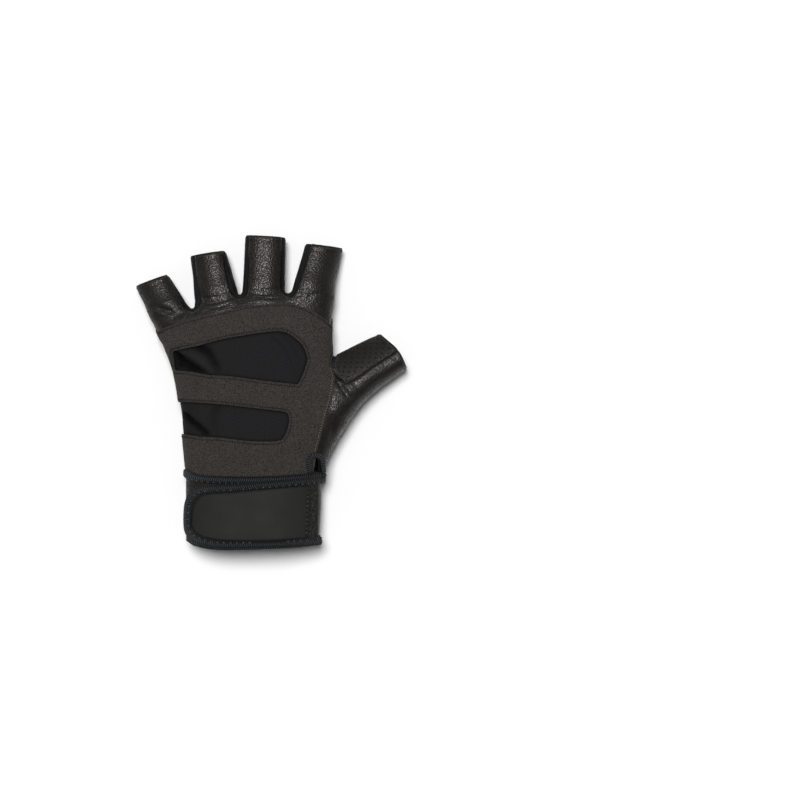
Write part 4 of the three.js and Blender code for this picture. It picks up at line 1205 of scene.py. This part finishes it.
FORKS = {  # edge of the back leather round each gap
    "little_ring": [(-63.8, 75.0), (-61.2, 69.2), (-56.7, 61.9), (-52.3, 54.5), (-49.2, 49.0), (-45.6, 47.1), (-42.4, 49.5), (-41.5, 53.4), (-43.0, 62.3), (-44.4, 71.0), (-45.1, 79.4), (-45.8, 88.0)],
    "ring_middle": [(-29.0, 92.0), (-27.7, 82.3), (-26.3, 73.1), (-24.6, 65.5), (-22.5, 58.6), (-18.4, 54.9), (-15.2, 57.0), (-14.2, 61.6), (-13.8, 73.1), (-13.4, 91.3), (-13.2, 98.0)],
    "middle_index": [(6.5, 98.0), (6.5, 90.4), (6.6, 76.3), (6.3, 64.3), (7.2, 58.2), (10.9, 55.9), (13.7, 57.9), (15.4, 62.3), (17.6, 68.8), (20.3, 77.5), (23.2, 86.6), (25.0, 93.0)],
}
forks = {}
for name, pts in FORKS.items():
    forks[name] = Region(smooth(pts, 70))


def f_fork(P):
    """Positive outside every strip between two fingers."""
    return -np.maximum.reduce([r(P) for r in forks.values()])


under_edge = top_line + [0, -2.2]
side_under = side_line + [-2.2, 0]
f_over_top = lambda P: above_line(np.vstack([[-120, top_line[0, 1]], top_line, [44, 33.0], [120, 62.0]]), P)
f_under_top = lambda P: above_line(np.vstack([[-120, under_edge[0, 1]], under_edge, [44, 33.0], [120, 60.0]]), P)
thumb_side = np.array([(44.0, 44.0), (39.2, 33.0), (38.4, 24.6), (35.6, 21.4)])
gusset_line = np.vstack([thumb_side, side_under[1:], [21.0, -70.0]])


def left_of(line, P):
    """Positive on the -X side of a line that runs down the glove."""
    d, _, side = seg_dist(P, line)
    return -side * d


f_gusset = lambda P: left_of(gusset_line, P)
arc_full = np.vstack([[44.0, 44.0], [38.4, 24.6], arc_line])
f_arc = lambda P: left_of(arc_full, P)
wrap_full = np.vstack([[95.0, 35.0], wrap_line, [36.1, 21.2], [38.8, 27.0], [50.0, 46.0]])
wrap_region = Region(np.vstack([[95.0, 35.0], wrap_line, [36.1, 21.2], [38.8, 27.0], [60.0, 50.0]]))
f_up = lambda P: P[:, 2] - seam_z(P)


def fn_neg(fn):
    return lambda P: -fn(P)


def shift(fn, c):
    return lambda P: fn(P) - c


def true(fn):
    """The same border, with the distance to it measured along the surface where that is steep to the plan."""

    def along(P):
        d = fn(P)
        near = np.abs(d) < 2.5
        if near.any():
            Q, e = P[near], 0.05
            g = np.stack([(fn(Q + step) - d[near]) / e for step in ([e, 0, 0], [0, e, 0], [0, 0, e])], 1)
            n = normal_at(Q)
            g -= n * (g * n).sum(1)[:, None]
            d[near] = d[near] / np.clip(np.linalg.norm(g, axis=1), 0.2, 1.0)
        return d

    return along


# ------------------------------------------------------------------ flat pattern coordinates, in mm
TOPZ = 32.0


def pattern_uv(P, N):
    """Rough flat coordinates: plan position, stretched down the sides by the depth below the middle."""
    cx = np.interp(P[:, 1], [-95, 0, 50], [-10.7, -9.9, -14])
    w = np.clip((P[:, 0] - cx) / 30.0, -1, 1)
    z = np.where(N[:, 2] > 0, 30 - P[:, 2], P[:, 2])
    return np.stack([P[:, 0] + np.sign(w) * np.abs(w) ** 3 * np.clip(z, 0, 40) * 0.8, P[:, 1]], 1)


# painted shade: a dark band in the colour along a seam, groove or stitch row
def painted_shade_line(d, at, width, strength):
    return 1 - strength * np.exp(-(((d - at) / width) ** 2))


def finish_panel(name, p, out, inn, material, slot, r_out=0.35, r_in=0.2, roll=3, node=None, uv=None, floor=True, shade=1.0, rim=0.35, soft=0.9, fold_shade=0.16):
    V, F = shell(p, out, inn, r_out, r_in, roll)
    # painted shade: the outer side is darkened towards its border, down to the rim factor at the edge, and in fold
    # valleys by a factor per mm of fold depth, times the given shade; the inner side gets painted shade of 0.8 and the
    # rolled edge the rim factor
    border = p.edge_distance(limit=3.0)
    top = (rim + (1 - rim) * np.clip(border / soft, 0, 1)) * shade * np.clip(1 + fold_shade * p.fold, 0.2, 1.3)
    nb = len(np.unique(p.boundary()))
    under = len(V) - 2 * len(p.P)
    shades = np.concatenate([top, np.full(len(p.P), 0.8), np.full(under, rim)])
    if floor:
        V[:, 2] = np.maximum(V[:, 2], 0.03)
    if uv is None:
        n = len(p.P)
        # the sides and the rim take the coordinates of the nearest patch point
        base = pattern_uv(p.P, p.N)
        rim = pattern_uv(V[2 * n:], np.tile(p.N[np.unique(p.boundary())], ((len(V) - 2 * n) // len(np.unique(p.boundary())), 1)))
        uvv = np.vstack([base, base, rim])
    else:
        n = len(p.P)
        bv = np.unique(p.boundary())
        rep = (len(V) - 2 * n) // len(bv)
        uvv = np.vstack([uv, uv, np.tile(uv[bv], (rep, 1))])
    ob = add_mesh(name, V, F, material, slot, uvv, shade=shades)
    for nd in node or [name]:
        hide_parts(nd)
    log(name, len(p.P), len(F))
    return ob


def roll_down(d, depth, width):
    """The surface dips towards an edge, by depth at the edge."""
    t = np.clip(1 - d / width, 0, 1)
    return -depth * t * t


def groove(d, at, depth, width):
    return -depth * np.exp(-(((d - at) / width) ** 2))


ONE = BASE.cut(f_tips, 0.3)
ONE = ONE.cut(shift(f_hem, 0.0)).biggest()
log("trimmed", len(ONE.P))

# hand above the wrist tape
R = 0.35
H = ONE.cut(shift(f_wrist, BINDING / 2 - 0.6)).biggest()
BACK = H.cut(shift(true(f_up), R))
PALM = H.cut(shift(true(fn_neg(f_up)), R))


def off_hem(S):
    return f_tips(S) > 1.2


# --- strips between the fingers
for name, region in forks.items():
    p = H.cut(shift(true(region), R)).biggest(least=15, keep=2)
    out = roll_down(p.edge_distance(), 0.5, 1.4)
    finish_panel("fourchette_" + name, p, out - 0.15, -WALL, M_GUSSET, "gusset_fabric", R)

# --- backs of the fingers and knuckles
p = BACK.cut(shift(true(f_fork), R)).cut(shift(f_under_top, 0.0)).biggest()
d = p.edge_distance(lambda S: f_under_top(S) > 0.6)
hemd = f_tips(p.P)
rim = p.edge_distance(lambda S: (np.abs(f_fork(S)) < 0.8) & (f_tips(S) > 0.5))
out = roll_down(d, 0.42, 1.3) + 0.22 * np.exp(-(((rim - 1.1) / 0.7) ** 2)) + groove(hemd, 3.2, 0.22, 0.45) + 0.12 * (hemd < 3.2)
BACKFINGERS = p
# painted shade: a dark band along the hem's stitch row
finish_panel("finger_back_leather", p, out, -WALL, M_SMOOTH, "smooth_leather", R, shade=painted_shade_line(hemd, 1.3, 0.35, 0.45))
ch = level_lines(p, hemd, 1.3)
sm = stitch_mesh(ch, 1.6, 1.05, 0.22, 0.16)
thread_jobs = [("finger_hems", sm, M_DARK, "smooth_leather")]

# --- stretch fabric
win1 = Region(np.vstack([smooth(seen(WINDOW_UPPER, 31.0), 70), smooth(seen(WINDOW_UPPER_BACK, 31.0), 40)[1:]]))
win2 = Region(smooth(seen(WINDOW_LOWER, 32.0), 90))
slit = Region(seen([(25.3, -50.0), (25.2, -42.0), (25.6, -39.4), (26.4, -38.3), (27.2, -39.4), (27.6, -42.0), (27.5, -50.0)], 30.0))
p = BACK.cut(shift(true(f_fork), R)).cut(fn_neg(f_under_top)).cut(shift(f_gusset, 0.0)).cut(shift(fn_neg(slit), 0.2)).biggest()
STRETCH = p
inwin = np.maximum(win1(p.P), win2(p.P))
# painted shade: darker near the window borders under the overlay's edge, darker towards the little-finger end, and
# darker in the fold valleys
painted_shade_stretch = (0.75 + 0.25 * np.clip((p.P[:, 0] + 57) / 17, 0, 1)) * np.clip(1 + 0.33 * p.fold, 0.2, 1)
stretch_ob = finish_panel("back_stretch_panel", p, -0.25, -WALL, M_STRETCH, "stretch_fabric", 0.2, shade=np.clip(0.35 + 0.65 * inwin / 1.6, 0.35, 1) * painted_shade_stretch, fold_shade=0.27)

# --- thumb back and gusset
p = BACK.cut(fn_neg(f_gusset)).cut(shift(true(fn_neg(wrap_region)), R)).cut(fn_neg(shift(f_under_top, -2))).cut(shift(fn_neg(slit), R)).biggest()
d = p.edge_distance(lambda S: f_gusset(S) < -0.6)
hemd = hem_fns["thumb"](p.P)
seamd = p.edge_distance(lambda S: np.abs(wrap_region(S)) < 0.8)
out = roll_down(d, 0.42, 1.3) + groove(hemd, 3.2, 0.2, 0.45)
# painted shade: a dark band along the thumb hem's stitch row
finish_panel("thumb_back_leather", p, out, -WALL, M_SMOOTH, "smooth_leather", R, shade=painted_shade_line(hemd, 1.3, 0.35, 0.45))
thread_jobs.append(("thumb_seam_back", stitch_mesh(level_lines(p, seamd, 1.3), 2.3, 1.7, 0.19, 0.1), M_BLACK, "smooth_leather"))
thread_jobs.append(("thumb_hem", stitch_mesh(level_lines(p, hemd, 1.3), 1.7, 1.1, 0.22, 0.16), M_DARK, "smooth_leather"))

# --- thumb palm and its wrap


def f_thumb_palm(P):
    """Positive on the thumb's palm side, and over the seam inside the wrap."""
    low = -f_up(P)
    wrap = wrap_region(P)
    return np.minimum(np.maximum(low, wrap), -f_arc(P))


p = H.cut(shift(true(f_thumb_palm), R)).biggest()
d = p.edge_distance()
hemd = hem_fns["thumb"](p.P)
arcd = p.edge_distance(lambda S: np.abs(f_arc(S)) < 0.8)
wrapd = p.edge_distance(lambda S: (np.abs(wrap_region(S)) < 0.8) & (f_up(S) > 0))
out = roll_down(d, 0.42, 1.3) + groove(hemd, 3.2, 0.2, 0.45)
# painted shade: dark bands along the wrap's double seam, the thumb arc seam and the hem's stitch row
finish_panel("thumb_palm_leather", p, out, -WALL, M_PERF, "perforated_leather", R, shade=painted_shade_line(wrapd, 1.6, 0.4, 0.6) * painted_shade_line(arcd, 1.5, 0.4, 0.5) * painted_shade_line(hemd, 1.3, 0.35, 0.45))
thread_jobs.append(("thumb_arc_inner", stitch_mesh(level_lines(p, arcd, 1.5), 2.3, 1.7, 0.2, 0.1), M_BLACK, "perforated_leather"))
thread_jobs.append(("thumb_wrap_inner", stitch_mesh(level_lines(p, wrapd, 1.6), 1.9, 1.3, 0.2, 0.14), M_DARK, "perforated_leather"))
thread_jobs.append(("thumb_hem_palm", stitch_mesh(level_lines(p, hemd, 1.3), 1.7, 1.1, 0.22, 0.16), M_DARK, "perforated_leather"))

# --- palm leather
p = PALM.cut(shift(true(f_fork), R)).cut(shift(true(f_arc), R)).biggest()
d = p.edge_distance()
hemd = f_tips(p.P)
arcd = p.edge_distance(lambda S: np.abs(f_arc(S)) < 0.8)
out = roll_down(d, 0.42, 1.3) + groove(hemd, 3.2, 0.2, 0.45)
# painted shade: dark bands along the thumb arc seam and the hem's stitch row
finish_panel("palm_leather", p, out, -WALL, M_PERF, "perforated_leather", R, shade=painted_shade_line(arcd, 1.5, 0.4, 0.5) * painted_shade_line(hemd, 1.3, 0.35, 0.45))
thread_jobs.append(("thumb_arc_outer", stitch_mesh(level_lines(p, arcd, 1.5), 2.3, 1.7, 0.2, 0.1), M_BLACK, "perforated_leather"))
thread_jobs.append(("palm_hems", stitch_mesh(level_lines(p, hemd, 1.3), 1.7, 1.1, 0.22, 0.16), M_DARK, "perforated_leather"))

# --- suede overlay on the back
side_full = np.vstack([(60.0, 40.0), (38.2, 30.0), (35.8, 22.5), side_line, [21.0, -70.0]])
f_side = lambda P: left_of(side_full, P)


def f_overlay(P):
    return np.minimum.reduce([-f_over_top(P), f_side(P), -win1(P), -win2(P), f_fork(P)])


RO = 0.45
def f_tape(P):
    """Positive within the wrist tape, which widens to a folded end on the little-finger side."""
    t = np.clip((-40.0 - P[:, 0]) / 9.0, 0, 1) * (f_up(P) > -3)
    return 2.35 + 1.9 * t * t * (f_wrist(P) > 0) - np.abs(f_wrist(P))


p = BACK.cut(shift(fn_neg(f_over_top), RO)).cut(shift(f_side, RO)).cut(shift(fn_neg(win1), RO)).cut(shift(fn_neg(win2), RO)).cut(shift(fn_neg(f_tape), 0.45)).cut(shift(fn_neg(slit), RO)).biggest(keep=2, least=300)
d = p.edge_distance(lambda S: (f_up(S) > 1.0) & (f_tape(S) < -1.0) & (slit(S) < -1.0))
out = 1.05 + groove(d, 1.05, 0.25, 0.38) + roll_down(d, 0.12, 0.7) + 0.05 * noise2(p.P[:, 0], p.P[:, 1], 2.2, 9)
# painted shade: a faint dark band along the stitch row
finish_panel("back_overlay", p, out, 0.05, M_SUEDE, "suede", RO, 0.15, 4, shade=painted_shade_line(d, 1.05, 0.4, 0.05), rim=0.9, soft=0.5, fold_shade=0.1)
OV = p
lines = level_lines(p, d, 1.05)
rows = [(q + m * 0.92, m) for q, m in lines]
by_side = lambda c: (f_side(c) < 2.2) & (c[:, 1] < 14)
thread_jobs.append(("overlay_stitches", stitch_mesh(rows, 1.5, 0.84, 0.46, 0.16, keep=lambda c: ~by_side(c) & (f_up(c) > 3.0)), M_SEAM, "suede"))
thread_jobs.append(("overlay_side_stitches", stitch_mesh(rows, 1.5, 0.75, 0.3, 0.2, keep=by_side), M_TAN, "suede"))

# --- padded palm
pad = Region(np.vstack([smooth(PALM_PAD_TOP, 50), smooth(PALM_PAD_BACK, 90)]))
p = PALM.cut(shift(pad, 0.8)).cut(shift(f_fork, 0.5)).cut(shift(fn_neg(f_up), 2.2)).biggest()
d = p.edge_distance()
low = np.clip(-p.N[:, 2], 0, 1)
th = 1.1 + (3.2 - 1.1) * low**1.5
t = np.clip(d / 4.0, 0, 1)
crown = np.sqrt(np.clip(1 - (1 - t) ** 2, 0, 1))
out = th * (0.42 + 0.58 * crown)
seam_only = p.edge_distance(lambda S: f_up(S) < -1.2)
out += (groove(seam_only, 2.0, 0.55, 0.5) + groove(seam_only, 4.6, 0.5, 0.5)) * np.clip(out, 0, 1)
out += 0.1 * noise2(p.P[:, 0], p.P[:, 1], 7.0, 11)
PAD = p
# painted shade: dark bands along the two stitch grooves round the pad
pad_ob = finish_panel("palm_pad", p, out, 0.05, M_SUEDE, "suede", 0.6, 0.15, 4, shade=painted_shade_line(seam_only, 2.0, 0.5, 0.55) * painted_shade_line(seam_only, 4.6, 0.5, 0.55), rim=0.6)
pl = level_lines(p, seam_only, 2.0) + level_lines(p, seam_only, 4.6)
off = []
for q, m in pl:
    kd = KDTree(len(p.P))
    for i, v in enumerate(p.P.tolist()):
        kd.insert(v, i)
    kd.balance()
    hh = np.array([out[kd.find(v)[1]] for v in q.tolist()])
    off.append((q + m * (hh - 0.05)[:, None], m))
thread_jobs.append(("pad_stitches", stitch_mesh(off, 2.2, 1.6, 0.18, 0.1), M_BROWN, "suede"))

# --- pull tabs
for name in ("ring", "middle"):
    rx, ry, tx, ty, rh, th_ = FINGERS[name][:6]
    ax, ay = tx - rx, ty - ry
    l = math.hypot(ax, ay)
    u = np.array([ax / l, ay / l])
    s = np.array([ay / l, -ax / l])
    o = np.array([rx, ry])
    at = lambda t, k: o + u * t + s * k
    w = th_ - 1.6
    reg = Region([at(l - 18, -w), at(l - 18, w), at(l + 4, w), at(l + 4, -w)])
    p = PALM.cut(shift(reg, 0.4)).cut(shift(fn_neg(f_up), 4.4)).biggest()
    d = p.edge_distance(lambda S: f_tips(S) > 1.5)
    along = (p.P[:, :2] - o) @ u - (l - 18)
    free = np.clip(1 - along / 5.0, 0, 1)
    out = 1.15 + 0.35 * free + groove(along, 2.2, 0.3, 0.4)
    # painted shade: a dark band along the tab's stitch row
    finish_panel("pull_tab_" + name, p, out, 0.12 + 0.3 * free**2, M_SUEDE, "suede", 0.4, 0.2, 4, shade=painted_shade_line(along, 2.4, 0.4, 0.55), rim=0.7)
    thread_jobs.append(("tab_stitches_" + name, stitch_mesh([(q + m * 1.0, m) for q, m in level_lines(p, along, 2.4)], 1.9, 1.35, 0.18, 0.12), M_BROWN, "suede"))

# --- cuff
CUFF = ONE.cut(fn_neg(shift(f_wrist, -BINDING / 2 + 0.6))).biggest()
p = CUFF.cut(shift(f_hem, 4.6)).biggest()
d = p.edge_distance()
finish_panel("cuff_band", p, roll_down(d, 0.3, 1.2), -1.7, M_CUFF, "cuff_leather", 0.3)


# tapes
def girth(P):
    """Arc length around the wrist from the middle of the back."""
    cx, cz = -10.7, 15.0
    a = np.arctan2((P[:, 2] - cz) / 16.0, (P[:, 0] - cx) / 38.5)
    t = np.linspace(-np.pi, np.pi, 721)
    u = np.sign(np.cos(t)) * np.abs(np.cos(t)) ** (2 / 2.4) * 38.5
    v = np.sign(np.sin(t)) * np.abs(np.sin(t)) ** (2 / 2.4) * 16
    ang = np.arctan2(v / 16.0, u / 38.5)
    s = np.r_[0, np.cumsum(np.hypot(np.diff(u), np.diff(v)))]
    return np.interp(a, ang, s)


def tape_panel(name, p, line_fn, half, height, inn, r_out, lip=True):
    v = line_fn(p.P)
    t = np.clip(np.abs(v) / half, 0, 1)
    out = height * (1 - 0.45 * t**3)
    uv = np.stack([girth(p.P), v], 1)
    # the girth wraps at the little-finger side
    return finish_panel(name, p, out, inn, M_TAPE, "ribbed_tape", r_out, 0.3, 4, uv=uv), out


p = ONE.cut(shift(f_tape, 0.5)).biggest()
v = f_wrist(p.P)
into = p.edge_distance()
ridge = 0.9 + 1.15 * np.sqrt(np.clip(1 - (1 - np.clip(into / 1.7, 0, 1)) ** 2, 0, 1)) - 0.75 * np.exp(-(((v + 1.3) / 0.38) ** 2)) - 0.3 * (v < -1.3)
uv = np.stack([girth(p.P), v], 1)
# painted shade: a dark band along the groove and stitch row at the wrist tape's lower side
finish_panel("wrist_binding", p, ridge, -1.7, M_TAPE, "ribbed_tape", 0.5, 0.3, 4, uv=uv, shade=painted_shade_line(v, -1.3, 0.4, 0.6), rim=0.25, soft=1.1)
thread_jobs.append(("wrist_tape_stitches", stitch_mesh([(q + m * 1.2, m) for q, m in level_lines(p, v, -1.3)], 3.6, 1.0, 0.17, 0.14), M_GREY, "ribbed_tape"))

p = ONE.cut(fn_neg(shift(f_hem, 5.4))).cut(shift(f_hem, 1.5)).biggest()
v = f_hem(p.P)
out = 0.75 + groove(v, 4.4, 0.35, 0.4)
uv = np.stack([girth(p.P), v], 1)
# painted shade: a dark band along the hem tape's stitch groove
finish_panel("hem_binding", p, out, -2.3, M_TAPE, "ribbed_tape", 0.9, 0.9, 5, uv=uv, shade=painted_shade_line(v, 4.4, 0.4, 0.6), rim=0.5)
thread_jobs.append(("hem_tape_stitches", stitch_mesh([(q + m * 0.5, m) for q, m in level_lines(p, v, 4.4)], 3.6, 1.1, 0.19, 0.14), M_GREY, "ribbed_tape"))

# --- strap
edge = smooth(seen([(31.6, -48.9)] + STRAP_EDGE[1:-1] + [(29.2, -89.6)], 33.0), 120)
field = smooth(seen(STRAP_FIELD, 33.0), 110)
plate = smooth(seen(PLATE_EDGE, 33.0), 110)
r_edge, r_field, r_plate = Region(edge), Region(field), Region(plate)
TOPHALF = ONE.cut(shift(f_up, 2.0)).cut(fn_neg(shift(f_wrist, 3.0)))
LIFT = 2.3
TOPHALF = Patch(np.hstack([TOPHALF.P + TOPHALF.N * LIFT, TOPHALF.N, TOPHALF.fold[:, None]]), TOPHALF.T)
p = TOPHALF.cut(shift(r_field, -0.5)).biggest()
finish_panel("wrist_strap", p, -0.2, -1.95, M_LOOP, "strap_fabric", 0.3)
p = TOPHALF.cut(shift(r_plate, 0.35)).biggest()
d = p.edge_distance()
out = 0.4 + roll_down(d, 0.12, 0.8)
finish_panel("strap_plate", p, out, -0.12, M_PLATE, "strap_plate", 0.35, 0.1, 4, rim=0.5, soft=0.7)
PL = p
ends = [(q + m * 0.5, m) for q, m in level_lines(p, 60 - p.P[:, 0] + 0.045 * (p.P[:, 1] + 54.6), 60 - 21.9)]
thread_jobs.append(("plate_stitches", stitch_mesh(ends, 2.6, 1.6, 0.44, 0.2), M_SEAM, "strap_plate"))
thread_jobs.append(("plate_stitch_ends", stitch_mesh([(resample_from(a, 1.9), resample_from(b, 0, a, 1.9)) for a, b in ends], 2.6, 0.45, 0.26, 0.16), M_GREY, "strap_plate"))

r_open = Region(np.vstack([field, [[60.0, field[-1][1] + 2.2], [60.0, field[0][1] + 1.6]]]))
p = TOPHALF.cut(shift(r_edge, 0.8)).cut(shift(fn_neg(r_open), 0.35)).biggest()
dist_e, s_e, _ = seg_dist(p.P, edge)
v = dist_e
crown = np.sqrt(np.clip(1 - ((v - 2.2) / 3.0) ** 2, 0, 1))
out = -0.35 + 1.3 * crown - 0.6 * np.exp(-(((v - 3.5) / 0.4) ** 2)) + 0.25 * (v > 3.6)
uv = np.stack([s_e, v], 1)
# painted shade: a dark band along the strap binding's stitch groove
finish_panel("strap_binding", p, out, -1.95, M_TAPE, "ribbed_tape", 0.9, 0.4, 5, uv=uv, shade=painted_shade_line(v, 3.5, 0.4, 0.55), rim=0.25, soft=1.2)
ln = level_lines(p, v, 3.5)
thread_jobs.append(("strap_tape_stitches", stitch_mesh([(q + m * 0.42, m) for q, m in ln if np.ptp(q[:, 0]) > 8], 3.8, 1.15, 0.19, 0.16), M_GREY, "ribbed_tape"))

# --- the bound slit beside the strap
VL = []
for i in range(25):
    a = math.pi * i / 24
    w = (VENT["right"] - VENT["left"]) / 2
    VL.append(((VENT["left"] + VENT["right"]) / 2 - w * math.cos(a), VENT["head"] - w + w * math.sin(a)))
VL = [(VENT["left"], VENT["foot"])] + VL + [(VENT["right"] + 0.2, VENT["foot"])]
VL = resample(seen(VL, 30.0) + [-0.9, 0.0], 0.5)
tops = []
kdb = KDTree(len(ONE.P))
up = ONE.N[:, 2] > 0.15
for i, q in enumerate(ONE.P.tolist()):
    kdb.insert((q[0], q[1], 0.0 if up[i] else 400.0), i)
kdb.balance()
idx = [kdb.find((x, y, 0.0))[1] for x, y in VL.tolist()]
C = np.column_stack([VL, ONE.P[idx, 2]])
NN = ONE.N[idx]
for _ in range(8):
    C[1:-1, 2] = 0.5 * C[1:-1, 2] + 0.25 * (C[:-2, 2] + C[2:, 2])
    NN[1:-1] = 0.5 * NN[1:-1] + 0.25 * (NN[:-2] + NN[2:])
NN /= np.linalg.norm(NN, axis=1)[:, None]
tg = np.gradient(C, axis=0)
tg /= np.linalg.norm(tg, axis=1)[:, None]
bn = np.cross(tg, NN)
sd = 18
a = 2 * np.pi * np.arange(sd) / sd
wx = np.sign(np.cos(a)) * np.abs(np.cos(a)) ** 0.8 * 1.6
wz = np.sign(np.sin(a)) * np.abs(np.sin(a)) ** 0.8 * 1.1
V = (C + NN * 1.55)[:, None] + bn[:, None] * wx[None, :, None] + NN[:, None] * wz[None, :, None]
n = len(C)
F = []
for i in range(n - 1):
    x = i * sd + np.arange(sd)
    y = i * sd + (np.arange(sd) + 1) % sd
    F.append(np.stack([x, y, y + sd, x + sd], 1))
F = np.vstack(F)
V = V.reshape(-1, 3)
c0, c1 = len(V), len(V) + 1
V = np.vstack([V, V[:sd].mean(0), V[-sd:].mean(0)])
caps = np.vstack([np.stack([np.full(sd, c0), (np.arange(sd) + 1) % sd, np.arange(sd), np.arange(sd)], 1)[:, :3], np.stack([np.full(sd, c1), (n - 1) * sd + np.arange(sd), (n - 1) * sd + (np.arange(sd) + 1) % sd], 1)])
F3 = np.vstack([F[:, [0, 1, 2]], F[:, [0, 2, 3]], caps])
if (tri_normals(V, F3) * (V[F3].mean(1) - V.mean(0))).sum() < 0:
    F3 = F3[:, ::-1]
arcl = np.r_[0, np.cumsum(np.linalg.norm(np.diff(C, axis=0), axis=1))]
uvv = np.vstack([np.stack([np.repeat(arcl, sd), np.tile(wx, n)], 1), [[0, 0], [arcl[-1], 0]]])
# painted shade: the tube's upper side is lighter and its underside darker
ob = add_mesh("vent_binding", V, F3, M_TAPE, "ribbed_tape", uvv, shade=np.append(np.tile(np.clip(0.5 + 0.6 * np.sin(a), 0.25, 1), n), [0.5, 0.5]))
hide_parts("vent_binding")

# --- threads
for name, res, mat, slot in thread_jobs:
    if res is None:
        log("no stitches for", name)
        continue
    V, F = res
    V[:, 2] = np.maximum(V[:, 2], 0.02)
    add_mesh(name, V, F, mat, slot)
log("threads")

# ------------------------------------------------------------------ floor, light and camera
bpy.ops.mesh.primitive_plane_add(size=1)
floor = bpy.context.object
floor.name = "floor"
floor.scale = (30, 30, 1)
floor.location = (0, 0, -0.0002)
mf, nt, bs = new_material("floor")
bs.inputs["Base Color"].default_value = (0.92, 0.92, 0.92, 1)
bs.inputs["Roughness"].default_value = 0.9
bs.inputs["Specular IOR Level"].default_value = 0.1
floor.data.materials.append(mf)


def area(name, loc, size, power, target=(-0.02, 0, 0.01), color=(1, 1, 1)):
    L = bpy.data.lights.new(name, "AREA")
    L.shape = "RECTANGLE"
    L.size, L.size_y = size
    L.energy = power
    L.color = color
    ob = bpy.data.objects.new(name, L)
    bpy.context.scene.collection.objects.link(ob)
    ob.location = loc
    ob.rotation_euler = (Vector(target) - Vector(loc)).to_track_quat("-Z", "Y").to_euler()
    return ob


sun = bpy.data.lights.new("key", "SUN")
sun.energy = 3.1
sun.angle = math.radians(22)
so = bpy.data.objects.new("key", sun)
bpy.context.scene.collection.objects.link(so)
so.location = (-0.08, 0.34, 1.3)
so.rotation_euler = (Vector((0, 0, 0)) - Vector((-0.08, 0.34, 1.3))).to_track_quat("-Z", "Y").to_euler()
area("left", (-1.2, 0.1, 0.7), (0.7, 0.9), 0.2)
area("right", (1.2, 0.3, 0.8), (0.7, 0.9), 0.2)
w = bpy.data.worlds.new("studio")
w.use_nodes = True
bg = w.node_tree.nodes["Background"]
wn = Nodes(w.node_tree)
tc = wn.add("ShaderNodeTexCoord")
up = wn.sepxyz(tc.outputs["Generated"])[2]
wn.link(wn.ramp(up, [(0.0, (0.8, 0.8, 0.8)), (0.08, (0.7, 0.7, 0.7)), (0.26, (0.14, 0.14, 0.14)), (1.0, (0.14, 0.14, 0.14))]), bg.inputs[0])
bg.inputs[1].default_value = 1.0
bpy.context.scene.world = w
bpy.context.scene.view_settings.view_transform = "Standard"

cam = bpy.data.cameras.new("camera")
cam.lens = 100
cam.sensor_width = 36
cam.clip_end = 10
co = bpy.data.objects.new("camera", cam)
bpy.context.scene.collection.objects.link(co)
co.location = (0.0752, -0.0044, 1.3 + 0.014)
co.rotation_euler = (0, 0, 0)
bpy.context.scene.camera = co

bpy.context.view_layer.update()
log("done", sum(len(o.data.polygons) for o in PIECES.values()))
